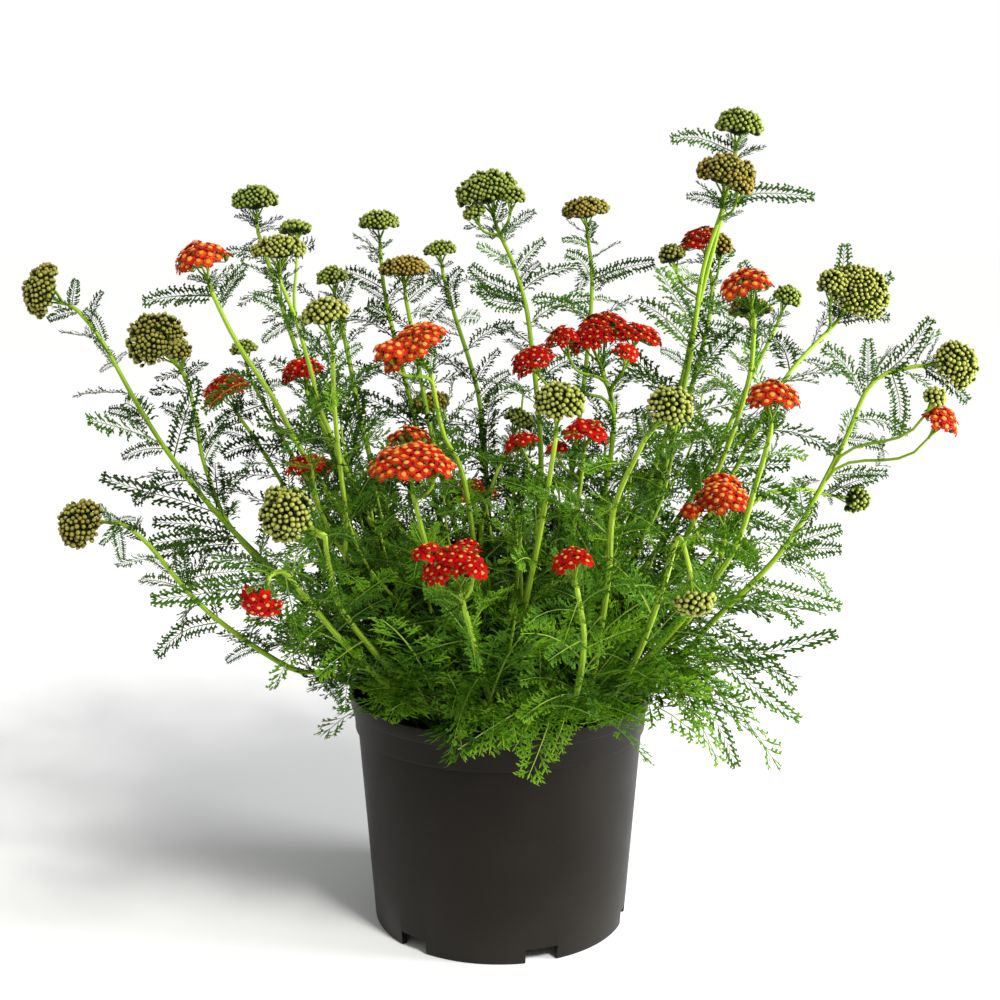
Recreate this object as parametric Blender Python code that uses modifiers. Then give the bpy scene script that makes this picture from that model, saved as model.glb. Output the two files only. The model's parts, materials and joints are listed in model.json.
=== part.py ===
"""A yarrow plant in its round nursery pot.

The pot is one moulded shell with a raised floor, drain holes and a notched foot. It is filled with
potting soil, and the plant's shoots grow from the soil: each flowering shoot is a stem with a domed
flower head, and long feathery leaves arch over the rim. Stems, heads and leaves are plain outer shapes.
The frame is metres with +Z up, and the origin is on the table at the middle of the pot's foot.
"""

import math
from collections import namedtuple

import bmesh
import bpy
from mathutils import Vector

MM = 0.001
GAP = 0.3 * MM

# The pot, outside
RIM_RADIUS = 82.5 * MM
POT_HEIGHT = 132.0 * MM
LIP_HEIGHT = 8.0 * MM
LIP_CHAMFER = 0.8 * MM
BAND_FOOT_RADIUS = 80.0 * MM
BODY_TOP_RADIUS = 78.6 * MM
STEP_HEIGHT = 111.0 * MM
FOOT_RADIUS = 70.3 * MM
WALL = 1.9 * MM
POT_SIDES = 60

# The pot's floor and foot
FLOOR_UNDERSIDE = 8.5 * MM
FLOOR_TOP = 10.5 * MM
FOOT_WIDTH = 3.6 * MM
NOTCH_COUNT = 6
NOTCH_WIDTH = 18.0 * MM
NOTCH_HEIGHT = 8.2 * MM
FIRST_NOTCH = math.radians(-41.6)
DRAIN_COUNT = 6
DRAIN_RADIUS = 5.0 * MM
DRAIN_CIRCLE = 44.0 * MM

# The soil
SOIL_TOP = 118.0 * MM
SOIL_FLAT_RADIUS = 68.0 * MM
SOIL_EDGE_DROP = 3.0 * MM
SOIL_SIDES = 36

# Stems, heads and leaves
STEM_FOOT_RADIUS = 1.9 * MM
STEM_TIP_RADIUS = 1.15 * MM
STEM_STEP = 24.0 * MM
UPRIGHT_FOOT = 5.0 * MM
STRAIGHT_NECK = 5.0 * MM
HEAD_SIDES = 12
NECK_RADIUS = 1.6 * MM
NECK_LENGTH = 3.0 * MM
LEAF_FOOT_RADIUS = 1.2 * MM
LEAF_WIDEST = 6.5 * MM
LEAF_STEP = 20.0 * MM

# The plant was laid out over one front view of it. A place in that view is a pixel of a 1000 x 1000
# frame, and its depth is chosen by hand, in millimetres behind the pot's axis.
VIEW_EYE = Vector((0.0, -0.919, 0.426))
VIEW_PITCH = math.radians(11.6)
VIEW_FOCAL = 1730.0
VIEW_CENTRE = 500.0

# head: pixel of the head's middle. across, deep: its width and thickness in pixels. foot: where the
# stem leaves the soil, in millimetres. via: pixels that the stem passes, from the head down.
Shoot = namedtuple("Shoot", "name tint head across deep depth foot via")
SHOOTS = (
    Shoot("far_left", "bud", (44, 291), 55, 42, 0, (-36, 6),
          ((65, 303), (102, 341), (143, 414), (184, 474), (243, 541), (330, 620))),
    Shoot("left_high", "bud", (157, 341), 62, 58, 60, (-27, 18),
          ((174, 362), (195, 412), (206, 470), (240, 540), (330, 620))),
    Shoot("left_orange", "orange", (201, 259), 56, 36, -65, (-23, -5),
          ((209, 283), (236, 341), (275, 401), (301, 450), (370, 560))),
    Shoot("left_pale", "bud", (279, 250), 55, 33, 20, (-14, 12),
          ((280, 272), (297, 323), (314, 382), (325, 421), (390, 560))),
    Shoot("left_middle", "bud", (325, 315), 50, 38, -90, (-18, -20),
          ((330, 338), (335, 414), (345, 508), (358, 595))),
    Shoot("left_front", "bud", (287, 515), 58, 50, -145, (-28, -28),
          ((319, 532), (328, 560), (342, 610), (400, 680))),
    Shoot("left_hanging", "red", (261, 605), 45, 25, -175, (-36, -42),
          ((266, 588), (285, 573), (312, 606), (360, 660))),
    Shoot("low_left", "bud", (81, 524), 52, 44, -70, (-52, -12),
          ((108, 523), (147, 543), (206, 610), (288, 667), (334, 675))),
    Shoot("middle_orange", "orange", (411, 344), 77, 36, -70, (-7, -11),
          ((424, 363), (443, 433), (464, 480), (480, 600))),
    Shoot("back_tall", "bud", (487, 192), 64, 46, 80, (3, 22),
          ((495, 221), (517, 274), (531, 341), (540, 500))),
    Shoot("back_right", "bud", (585, 211), 49, 30, 150, (14, 36),
          ((587, 230), (592, 287), (583, 391), (560, 540))),
    Shoot("front_orange", "orange", (410, 460), 88, 36, -125, (-13, -32),
          ((412, 482), (430, 560), (456, 640))),
    Shoot("front_red", "red", (452, 562), 70, 36, -165, (-2, -44),
          ((458, 584), (470, 630), (484, 680))),
    Shoot("front_small_red", "red", (571, 560), 46, 26, -180, (29, -48),
          ((576, 584), (584, 641), (575, 697))),
    Shoot("front_pale", "bud", (559, 403), 54, 43, -110, (9, -30),
          ((555, 443), (544, 511), (525, 604), (506, 660))),
    Shoot("wide_red", "red", (592, 342), 118, 40, 10, (18, 6),
          ((603, 374), (614, 420), (600, 520), (575, 620))),
    Shoot("right_pale", "bud", (670, 408), 50, 45, -140, (43, -34),
          ((650, 433), (614, 508), (608, 580), (592, 680))),
    Shoot("top", "bud", (739, 126), 48, 36, 75, (22, 33),
          ((736, 148), (722, 215), (700, 300), (665, 440), (590, 600))),
    Shoot("top_right", "bud", (726, 174), 60, 42, 25, (27, 18),
          ((723, 200), (702, 275), (688, 369), (655, 500), (600, 640))),
    Shoot("right_orange", "orange", (746, 286), 55, 36, -55, (33, -8),
          ((754, 318), (748, 383), (716, 474), (650, 600))),
    Shoot("right_large", "bud", (858, 292), 66, 50, 95, (40, 26),
          ((838, 320), (785, 379), (735, 470), (650, 610))),
    Shoot("right_red", "orange", (772, 398), 55, 36, -110, (43, -24),
          ((771, 422), (757, 480), (728, 560), (650, 655))),
    Shoot("far_right", "bud", (955, 365), 50, 44, 5, (56, 4),
          ((923, 366), (872, 383), (840, 451), (785, 547), (709, 625), (684, 653))),
    Shoot("right_low_red", "red", (722, 503), 62, 46, -55, (51, -9),
          ((724, 530), (716, 570), (680, 630))),
    Shoot("right_drooping", "bud", (695, 602), 45, 32, -175, (50, -42),
          ((691, 577), (678, 538), (662, 591), (634, 662))),
)

# bearing: the way it points, in degrees from +X towards +Y. root: distance of its foot from the axis.
# along: reach in millimetres from the axis and height over the soil, from the crown out to the tip.
Leaf = namedtuple("Leaf", "name bearing root along")
LEAVES = (
    Leaf("left_leaf", 168, 60, ((72, 20), (92, 30), (125, 34), (165, 22))),
    Leaf("front_left_leaf", 211, 64, ((72, 22), (92, 30), (112, 18), (126, -10))),
    Leaf("front_leaf", 268, 62, ((71, 24), (88, 31), (104, 14), (112, -18))),
    Leaf("front_right_leaf", 339, 66, ((74, 22), (100, 34), (130, 20), (158, -14))),
    Leaf("right_leaf", 13, 62, ((76, 28), (106, 48), (146, 54), (190, 44))),
    Leaf("back_right_leaf", 48, 60, ((72, 26), (100, 46), (140, 48), (178, 24))),
    Leaf("back_leaf", 88, 60, ((72, 28), (98, 48), (140, 52), (189, 28))),
    Leaf("back_left_leaf", 140, 60, ((72, 26), (100, 44), (136, 42), (172, 12))),
)

LOOKS = {
    # colour, roughness
    "pot": ((0.030, 0.028, 0.026), 0.45),
    "soil": ((0.035, 0.022, 0.014), 0.95),
    "stem": ((0.25, 0.42, 0.09), 0.55),
    "leaf": ((0.07, 0.20, 0.03), 0.60),
    "bud": ((0.32, 0.38, 0.12), 0.65),
    "orange": ((0.75, 0.13, 0.02), 0.60),
    "red": ((0.60, 0.02, 0.01), 0.60),
}


def clear_scene():
    for thing in list(bpy.data.objects):
        bpy.data.objects.remove(thing)


def collection(name):
    made = bpy.data.collections.new(name)
    bpy.context.scene.collection.children.link(made)
    return made


def material(name):
    colour, roughness = LOOKS[name]
    made = bpy.data.materials.new(name)
    made.use_nodes = True
    shader = made.node_tree.nodes["Principled BSDF"]
    shader.inputs["Base Color"].default_value = (*colour, 1.0)
    shader.inputs["Roughness"].default_value = roughness
    return made


def mesh_object(name, mesh, look, home):
    thing = bpy.data.objects.new(name, mesh)
    home.objects.link(thing)
    if look:
        mesh.materials.append(look)
        mesh.shade_smooth()
        mesh.set_sharp_from_angle(angle=math.radians(35))
    return thing


def turned(name, profile, sides, look, home):
    """A closed solid turned about Z from a profile of (radius, height), which starts and ends on the axis."""
    mesh = bpy.data.meshes.new(name)
    points = [(radius, 0.0, height) for radius, height in profile]
    mesh.from_pydata(points, [(i, i + 1) for i in range(len(points) - 1)], [])
    thing = mesh_object(name, mesh, look, home)
    screw = thing.modifiers.new("Turn", "SCREW")
    screw.steps = sides
    screw.render_steps = sides
    screw.use_merge_vertices = True
    screw.merge_threshold = 0.00005
    screw.use_smooth_shade = True
    return thing


def tube(name, points, radii, look, home):
    """A round rod with flat ends through the points, with a radius for each of them."""
    curve = bpy.data.curves.new(name, "CURVE")
    curve.dimensions = "3D"
    curve.bevel_depth = 1.0
    curve.bevel_resolution = 1
    curve.use_fill_caps = True
    spline = curve.splines.new("POLY")
    spline.points.add(len(points) - 1)
    for node, place, radius in zip(spline.points, points, radii):
        node.co = (*place, 1.0)
        node.radius = radius
    curve.materials.append(look)
    thing = bpy.data.objects.new(name, curve)
    home.objects.link(thing)
    return thing


def seen_at(pixel, depth):
    """The point at this pixel of the front view, this far behind the pot's axis."""
    right = (pixel[0] - VIEW_CENTRE) / VIEW_FOCAL
    down = (pixel[1] - VIEW_CENTRE) / VIEW_FOCAL
    ray = Vector((
        right,
        math.cos(VIEW_PITCH) - down * math.sin(VIEW_PITCH),
        -math.sin(VIEW_PITCH) - down * math.cos(VIEW_PITCH),
    ))
    return VIEW_EYE + ray * ((depth - VIEW_EYE.y) / ray.y)


def pixel_size(place):
    """How much of the object one pixel of the front view spans there."""
    return (place - VIEW_EYE).length / VIEW_FOCAL


def smooth_route(knots, step):
    """Points at even steps along a smooth curve through the knots."""
    fine = []
    for i in range(len(knots) - 1):
        before = knots[max(i - 1, 0)]
        start, end = knots[i], knots[i + 1]
        after = knots[min(i + 2, len(knots) - 1)]
        for part in range(12):
            t = part / 12
            fine.append(0.5 * (
                2 * start
                + (end - before) * t
                + (2 * before - 5 * start + 4 * end - after) * t ** 2
                + (3 * start - before - 3 * end + after) * t ** 3
            ))
    fine.append(knots[-1])
    total = sum((b - a).length for a, b in zip(fine, fine[1:]))
    pieces = max(2, round(total / step))
    spacing = total / pieces
    even = [fine[0]]
    walked = 0.0
    for a, b in zip(fine, fine[1:]):
        length = (b - a).length
        while walked + length >= spacing * len(even) and len(even) < pieces:
            even.append(a.lerp(b, (spacing * len(even) - walked) / length))
        walked += length
    even.append(fine[-1])
    return even


def head_place(shoot):
    """The head's middle, radius, thickness and axis, which points the way its stem ends."""
    middle = seen_at(shoot.head, shoot.depth * MM)
    size = pixel_size(middle)
    below = seen_at(shoot.via[0], shoot.depth * MM)
    return middle, shoot.across * size / 2, shoot.deep * size, (middle - below).normalized()


def stem_route(shoot):
    """The stem's points, from the soil up to just under its head."""
    middle, _, thickness, axis = head_place(shoot)
    foot = Vector((shoot.foot[0] * MM, shoot.foot[1] * MM, SOIL_TOP + GAP))
    upright = foot + Vector((0, 0, UPRIGHT_FOOT))
    pixels = list(reversed(shoot.via))[:-1]
    knots = [upright]
    for rank, pixel in enumerate(pixels, 1):
        share = (rank / (len(pixels) + 1)) ** 1.15
        knots.append(seen_at(pixel, foot.y + (shoot.depth * MM - foot.y) * share))
    tip = middle - axis * (thickness / 2 + NECK_LENGTH + GAP)
    knots.append(tip - axis * STRAIGHT_NECK)
    return [foot] + smooth_route(knots, STEM_STEP) + [tip]


def make_pot(home, cutters, look):
    lip_foot = POT_HEIGHT - LIP_HEIGHT
    slope = (BODY_TOP_RADIUS - FOOT_RADIUS) / STEP_HEIGHT
    floor_radius = FOOT_RADIUS + slope * FLOOR_TOP - WALL
    profile = (
        (0, FLOOR_TOP),
        (floor_radius, FLOOR_TOP),
        (BODY_TOP_RADIUS - WALL, STEP_HEIGHT),
        (BAND_FOOT_RADIUS - WALL, STEP_HEIGHT + WALL),
        (RIM_RADIUS - WALL, lip_foot),
        (RIM_RADIUS - WALL, POT_HEIGHT - LIP_CHAMFER),
        (RIM_RADIUS - WALL + LIP_CHAMFER / 2, POT_HEIGHT),
        (RIM_RADIUS - LIP_CHAMFER, POT_HEIGHT),
        (RIM_RADIUS, POT_HEIGHT - LIP_CHAMFER),
        (RIM_RADIUS, lip_foot),
        (BAND_FOOT_RADIUS, STEP_HEIGHT),
        (BODY_TOP_RADIUS, STEP_HEIGHT - LIP_CHAMFER),
        (FOOT_RADIUS, 0),
        (FOOT_RADIUS - FOOT_WIDTH, 0),
        (FOOT_RADIUS - FOOT_WIDTH, FLOOR_UNDERSIDE),
        (0, FLOOR_UNDERSIDE),
    )
    pot = turned("nursery_pot", profile, POT_SIDES, look, home)
    cut(pot, "Notches", foot_notches(cutters))
    cut(pot, "Drains", drain_holes(cutters))
    return pot


def cut(thing, name, cutter):
    modifier = thing.modifiers.new(name, "BOOLEAN")
    modifier.operation = "DIFFERENCE"
    modifier.object = cutter


def cutter_object(name, bm, home):
    mesh = bpy.data.meshes.new(name)
    bm.to_mesh(mesh)
    bm.free()
    thing = mesh_object(name, mesh, None, home)
    thing.hide_render = True
    thing.display_type = "WIRE"
    return thing


def foot_notches(home):
    """Blocks that open the foot to the air, so that water drains away under the pot."""
    bm = bmesh.new()
    below = 4 * MM
    for rank in range(NOTCH_COUNT):
        bearing = FIRST_NOTCH + rank * math.tau / NOTCH_COUNT - math.pi / 2
        block = bmesh.ops.create_cube(bm, size=1.0)["verts"]
        for corner in block:
            out = FOOT_RADIUS - FOOT_WIDTH / 2 + corner.co.x * FOOT_WIDTH * 2.5
            side = corner.co.y * NOTCH_WIDTH
            height = (corner.co.z + 0.5) * (NOTCH_HEIGHT + below) - below
            corner.co = (
                out * math.cos(bearing) - side * math.sin(bearing),
                out * math.sin(bearing) + side * math.cos(bearing),
                height,
            )
    return cutter_object("foot_notches", bm, home)


def drain_holes(home):
    bm = bmesh.new()
    for rank in range(DRAIN_COUNT):
        bearing = rank * math.tau / DRAIN_COUNT
        hole = bmesh.ops.create_cone(
            bm, cap_ends=True, segments=12, radius1=DRAIN_RADIUS, radius2=DRAIN_RADIUS, depth=6 * MM
        )["verts"]
        place = Vector((
            DRAIN_CIRCLE * math.cos(bearing),
            DRAIN_CIRCLE * math.sin(bearing),
            (FLOOR_UNDERSIDE + FLOOR_TOP) / 2,
        ))
        bmesh.ops.translate(bm, vec=place, verts=hole)
    return cutter_object("drain_holes", bm, home)


def make_soil(home, look):
    slope = (BODY_TOP_RADIUS - FOOT_RADIUS) / STEP_HEIGHT
    bottom = FLOOR_TOP + GAP
    clearance = WALL + 1.3 * GAP
    profile = (
        (0, SOIL_TOP),
        (SOIL_FLAT_RADIUS, SOIL_TOP),
        (BODY_TOP_RADIUS - clearance, SOIL_TOP - SOIL_EDGE_DROP),
        (BODY_TOP_RADIUS - clearance, STEP_HEIGHT),
        (FOOT_RADIUS + slope * bottom - clearance, bottom),
        (0, bottom),
    )
    return turned("potting_soil", profile, SOIL_SIDES, look, home)


def make_stem(shoot, home, look):
    points = stem_route(shoot)
    last = len(points) - 1
    radii = [STEM_FOOT_RADIUS + (STEM_TIP_RADIUS - STEM_FOOT_RADIUS) * i / last for i in range(last + 1)]
    return tube(shoot.name + "_stem", points, radii, look, home)


def make_head(shoot, home, looks):
    """A domed flower head with its branches as the tapering neck under it."""
    middle, radius, thickness, axis = head_place(shoot)
    foot = -thickness / 2 - NECK_LENGTH
    profile = (
        (0, thickness / 2),
        (0.50 * radius, 0.43 * thickness),
        (0.84 * radius, 0.20 * thickness),
        (radius, -0.08 * thickness),
        (0.84 * radius, -0.28 * thickness),
        (0.34 * radius, -0.46 * thickness),
        (NECK_RADIUS, foot),
        (0, foot),
    )
    head = turned(shoot.name + "_head", profile, HEAD_SIDES, looks[shoot.tint], home)
    head.rotation_mode = "QUATERNION"
    head.rotation_quaternion = axis.to_track_quat("Z", "Y")
    head.location = middle
    return head


def make_leaf(leaf, home, look):
    """The outer shape of one feathery leaf: a spindle that starts as a bare stalk on the soil."""
    bearing = math.radians(leaf.bearing)
    out = Vector((math.cos(bearing), math.sin(bearing), 0))
    foot = out * leaf.root * MM + Vector((0, 0, SOIL_TOP + GAP))
    knots = [foot + Vector((0, 0, UPRIGHT_FOOT))]
    knots += [out * reach * MM + Vector((0, 0, SOIL_TOP + rise * MM)) for reach, rise in leaf.along]
    points = [foot] + smooth_route(knots, LEAF_STEP)
    last = len(points) - 1
    radii = []
    for i in range(last + 1):
        grown = max(0.0, (i / last - 0.2) / 0.8)
        radii.append(LEAF_FOOT_RADIUS + (LEAF_WIDEST - LEAF_FOOT_RADIUS) * math.sin(math.pi * grown ** 0.8))
    return tube(leaf.name, points, radii, look, home)


def main():
    clear_scene()
    plant = collection("yarrow_plant")
    cutters = collection("cutters")
    looks = {name: material(name) for name in LOOKS}
    make_pot(plant, cutters, looks["pot"])
    make_soil(plant, looks["soil"])
    for shoot in SHOOTS:
        make_stem(shoot, plant, looks["stem"])
        make_head(shoot, plant, looks)
    for leaf in LEAVES:
        make_leaf(leaf, plant, looks["leaf"])


main()
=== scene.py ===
# %% [markdown]
# # A yarrow plant in its nursery pot
#
# This lesson builds a potted yarrow for close-up renders. A plant like this is thousands of small
# parts: finely cut leaves, bunches of ovoid buds, and heads of tiny five-rayed flowers. None of them
# is hard to make. The work is in making one good leaf, bud and floret, and then in setting them out
# the way the plant grows.
#
# The measured model comes first. It holds the pot, the soil, each stem, each head's outer shape and
# the longest leaves, all in metres with +Z up, and everything below is placed by it.

# %% Load the measured model
import json
import math
from collections import namedtuple

import bmesh
import bpy
import numpy as np
from mathutils import Matrix, Vector

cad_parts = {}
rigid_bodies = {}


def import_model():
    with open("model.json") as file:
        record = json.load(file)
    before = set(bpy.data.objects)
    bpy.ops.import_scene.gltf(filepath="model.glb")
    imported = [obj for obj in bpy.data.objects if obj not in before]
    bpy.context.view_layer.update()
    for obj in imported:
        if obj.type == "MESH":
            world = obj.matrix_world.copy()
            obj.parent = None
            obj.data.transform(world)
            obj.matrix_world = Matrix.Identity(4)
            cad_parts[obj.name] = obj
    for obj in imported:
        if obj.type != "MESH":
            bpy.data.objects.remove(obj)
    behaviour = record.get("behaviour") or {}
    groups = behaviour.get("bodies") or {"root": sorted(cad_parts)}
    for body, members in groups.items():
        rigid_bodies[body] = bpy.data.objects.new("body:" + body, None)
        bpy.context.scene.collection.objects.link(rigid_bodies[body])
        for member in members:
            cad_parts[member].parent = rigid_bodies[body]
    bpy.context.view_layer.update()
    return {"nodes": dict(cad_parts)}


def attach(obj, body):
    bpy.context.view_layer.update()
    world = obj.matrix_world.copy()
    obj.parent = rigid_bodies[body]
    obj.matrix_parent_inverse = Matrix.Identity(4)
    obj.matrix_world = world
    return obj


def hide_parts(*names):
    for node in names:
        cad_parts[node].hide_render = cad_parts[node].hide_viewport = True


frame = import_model()
MM = 0.001
print("measured nodes:", len(frame["nodes"]))

# %% [markdown]
# ## Where the shoots stand
#
# Each shoot was laid out over one front view of the plant. A pixel of that view gives a direction
# from the eye, and a given depth says how far along it the head hangs, so the plant matches
# the view and is also round when it is seen from the side. The eye's own numbers come from the pot:
# its rim, step and foot are circles of known size, and only one camera draws them that way.

# %% From a pixel of the front view to a point of the plant
VIEW_EYE = np.array((0.0, -0.919, 0.426))
VIEW_PITCH = math.radians(11.6)
VIEW_FOCAL = 1730.0
VIEW_WIDTH = 1000.0
VIEW_CENTRE = VIEW_WIDTH / 2


def seen_at(pixel, depth):
    """The point at this pixel, this far behind the pot's axis, in metres."""
    right = (pixel[0] - VIEW_CENTRE) / VIEW_FOCAL
    down = (pixel[1] - VIEW_CENTRE) / VIEW_FOCAL
    ray = np.array((
        right,
        math.cos(VIEW_PITCH) - down * math.sin(VIEW_PITCH),
        -math.sin(VIEW_PITCH) - down * math.cos(VIEW_PITCH),
    ))
    return VIEW_EYE + ray * ((depth - VIEW_EYE[1]) / ray[1])


def pixel_of(places):
    """The pixels of the front view where these points are seen."""
    from_eye = places - VIEW_EYE
    ahead = from_eye @ np.array((0, math.cos(VIEW_PITCH), -math.sin(VIEW_PITCH)))
    rise = from_eye @ np.array((0, math.sin(VIEW_PITCH), math.cos(VIEW_PITCH)))
    across = np.stack([from_eye[:, 0], -rise], axis=1)
    return VIEW_CENTRE + VIEW_FOCAL * across / ahead[:, None]


def pixel_size(place):
    """How much of the plant one pixel of the front view spans there."""
    return np.linalg.norm(place - VIEW_EYE) / VIEW_FOCAL


print("one pixel at the pot's axis is %.2f mm" % (pixel_size(np.array((0, 0, 0.2))) / MM))

# %% [markdown]
# ## The shoots, by name
#
# A shoot is a stem with one head. `across` and `deep` are the head's width and thickness in pixels,
# `depth` is in millimetres behind the pot's axis, `foot` is where the stem leaves the soil, and `via`
# lists pixels that the stem passes from the head down. The first list holds the shoots of the
# measured model, and each has a stem and a head there. The second holds lighter shoots, some of them
# at the back where the front view can't reach.

# %% The shoots of the measured model
Shoot = namedtuple("Shoot", "name tint head across deep depth foot via")
SHOOTS = (
    Shoot("far_left", "olive", (44, 291), 55, 42, 0, (-36, 6),
          ((65, 303), (102, 341), (143, 414), (184, 474), (243, 541), (330, 620))),
    Shoot("left_high", "olive", (157, 341), 62, 58, 60, (-27, 18),
          ((174, 362), (195, 412), (206, 470), (240, 540), (330, 620))),
    Shoot("left_orange", "orange", (201, 259), 56, 36, -65, (-23, -5),
          ((209, 283), (236, 341), (275, 401), (301, 450), (370, 560))),
    Shoot("left_pale", "pale", (279, 250), 55, 33, 20, (-14, 12),
          ((280, 272), (297, 323), (314, 382), (325, 421), (390, 560))),
    Shoot("left_middle", "pale", (325, 315), 50, 38, -90, (-18, -20),
          ((330, 338), (335, 414), (345, 508), (358, 595))),
    Shoot("left_front", "pale", (287, 515), 58, 50, -145, (-28, -28),
          ((319, 532), (328, 560), (342, 610), (400, 680))),
    Shoot("left_hanging", "red", (261, 605), 45, 25, -175, (-36, -42),
          ((266, 588), (285, 573), (312, 606), (360, 660))),
    Shoot("low_left", "olive", (81, 524), 52, 44, -70, (-52, -12),
          ((108, 523), (147, 543), (206, 610), (288, 667), (334, 675))),
    Shoot("middle_orange", "orange", (411, 344), 77, 36, -70, (-7, -11),
          ((424, 363), (443, 433), (464, 480), (480, 600))),
    Shoot("back_tall", "green", (487, 192), 64, 46, 80, (3, 22),
          ((495, 221), (517, 274), (531, 341), (540, 500))),
    Shoot("back_right", "tinted", (585, 211), 49, 30, 150, (14, 36),
          ((587, 230), (592, 287), (583, 391), (560, 540))),
    Shoot("front_orange", "orange", (410, 460), 88, 36, -125, (-13, -32),
          ((412, 482), (430, 560), (456, 640))),
    Shoot("front_red", "red", (452, 562), 70, 36, -165, (-2, -44),
          ((458, 584), (470, 630), (484, 680))),
    Shoot("front_small_red", "red", (571, 560), 46, 26, -180, (29, -48),
          ((576, 584), (584, 641), (575, 697))),
    Shoot("front_pale", "pale", (559, 403), 54, 43, -110, (9, -30),
          ((555, 443), (544, 511), (525, 604), (506, 660))),
    Shoot("wide_red", "crimson", (592, 342), 54, 40, 10, (18, 6),
          ((603, 374), (614, 420), (600, 520), (575, 620))),
    Shoot("right_pale", "pale", (670, 408), 50, 45, -140, (43, -34),
          ((650, 433), (614, 508), (608, 580), (592, 680))),
    Shoot("top", "green", (739, 126), 48, 36, 75, (22, 33),
          ((736, 148), (722, 215), (700, 300), (665, 440), (590, 600))),
    Shoot("top_right", "tinted", (726, 174), 60, 42, 25, (27, 18),
          ((723, 200), (702, 275), (688, 369), (655, 500), (600, 640))),
    Shoot("right_orange", "orange", (746, 286), 55, 36, -55, (33, -8),
          ((754, 318), (748, 383), (716, 474), (650, 600))),
    Shoot("right_large", "pale", (858, 292), 66, 50, 95, (40, 26),
          ((838, 320), (785, 379), (735, 470), (650, 610))),
    Shoot("right_red", "orange", (772, 398), 55, 36, -110, (43, -24),
          ((771, 422), (757, 480), (728, 560), (650, 655))),
    Shoot("far_right", "pale", (955, 365), 50, 44, 5, (56, 4),
          ((923, 366), (872, 383), (840, 451), (785, 547), (709, 625), (684, 653))),
    Shoot("right_low_red", "orange", (722, 503), 62, 46, -55, (51, -9),
          ((724, 530), (716, 570), (680, 630))),
    Shoot("right_drooping", "pale", (695, 602), 45, 32, -175, (50, -42),
          ((691, 577), (678, 538), (662, 591), (634, 662))),
)
print("shoots in the measured model:", len(SHOOTS))

# %% The lighter shoots, and those at the back
LIGHT_SHOOTS = (
    Shoot("back_green", "green", (255, 201), 47, 34, 140, (-20, 30),
          ((257, 222), (268, 262), (300, 360), (360, 520))),
    Shoot("small_behind", "green", (244, 349), 29, 22, 165, (-32, 34),
          ((247, 366), (262, 400), (330, 520))),
    Shoot("pale_behind", "green", (332, 278), 34, 26, 110, (-5, 31),
          ((335, 296), (345, 340), (385, 500))),
    Shoot("back_left", "green", (379, 223), 42, 28, 125, (-10, 40),
          ((380, 242), (386, 300), (408, 391), (440, 520))),
    Shoot("tinted_back", "tinted", (404, 269), 52, 28, 95, (0, 31),
          ((405, 289), (412, 330), (440, 470))),
    Shoot("narrow_back", "green", (440, 250), 34, 22, 175, (5, 46),
          ((442, 266), (454, 313), (480, 404), (490, 530))),
    Shoot("left_red", "red", (302, 370), 46, 27, 45, (-12, 0),
          ((306, 388), (330, 440), (390, 560))),
    Shoot("left_low_red", "red", (305, 466), 42, 26, -40, (-30, -14),
          ((310, 484), (335, 540), (390, 620))),
    Shoot("dark_red_behind", "red", (226, 390), 52, 34, 125, (-26, 27),
          ((236, 410), (262, 450), (340, 570))),
    Shoot("middle_red", "red", (586, 431), 48, 28, -45, (14, -12),
          ((584, 450), (578, 500), (560, 600))),
    Shoot("small_middle", "green", (519, 420), 33, 26, 60, (6, 12),
          ((512, 438), (495, 478), (481, 534), (490, 620))),
    Shoot("red_behind_top", "red", (701, 238), 46, 24, 120, (30, 40),
          ((705, 255), (712, 300), (690, 392), (640, 520))),
    Shoot("pale_behind_right", "green", (787, 298), 30, 28, 160, (37, 40),
          ((780, 317), (750, 380), (690, 500))),
    Shoot("small_right", "green", (854, 499), 28, 36, 60, (50, 16),
          ((836, 496), (801, 489), (757, 500), (700, 570))),
    Shoot("rear_red", "red", (382, 528), 44, 26, 185, (-24, 46),
          ((388, 545), (420, 590), (450, 630))),
    Shoot("rear_orange", "orange", (474, 492), 50, 28, 178, (-4, 52),
          ((476, 508), (484, 560), (490, 620))),
    Shoot("rear_green", "green", (566, 520), 40, 30, 183, (20, 50),
          ((562, 538), (550, 580), (535, 630))),
    Shoot("rear_pale", "pale", (650, 486), 46, 34, 160, (38, 42),
          ((640, 505), (610, 560), (580, 620))),
    Shoot("rear_tinted", "tinted", (430, 405), 44, 30, 175, (-12, 54),
          ((434, 424), (450, 500), (470, 600))),
    Shoot("rear_left_red", "red", (318, 470), 42, 26, 150, (-42, 36),
          ((326, 488), (365, 550), (400, 610))),
)
print("lighter shoots:", len(LIGHT_SHOOTS))

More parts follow.
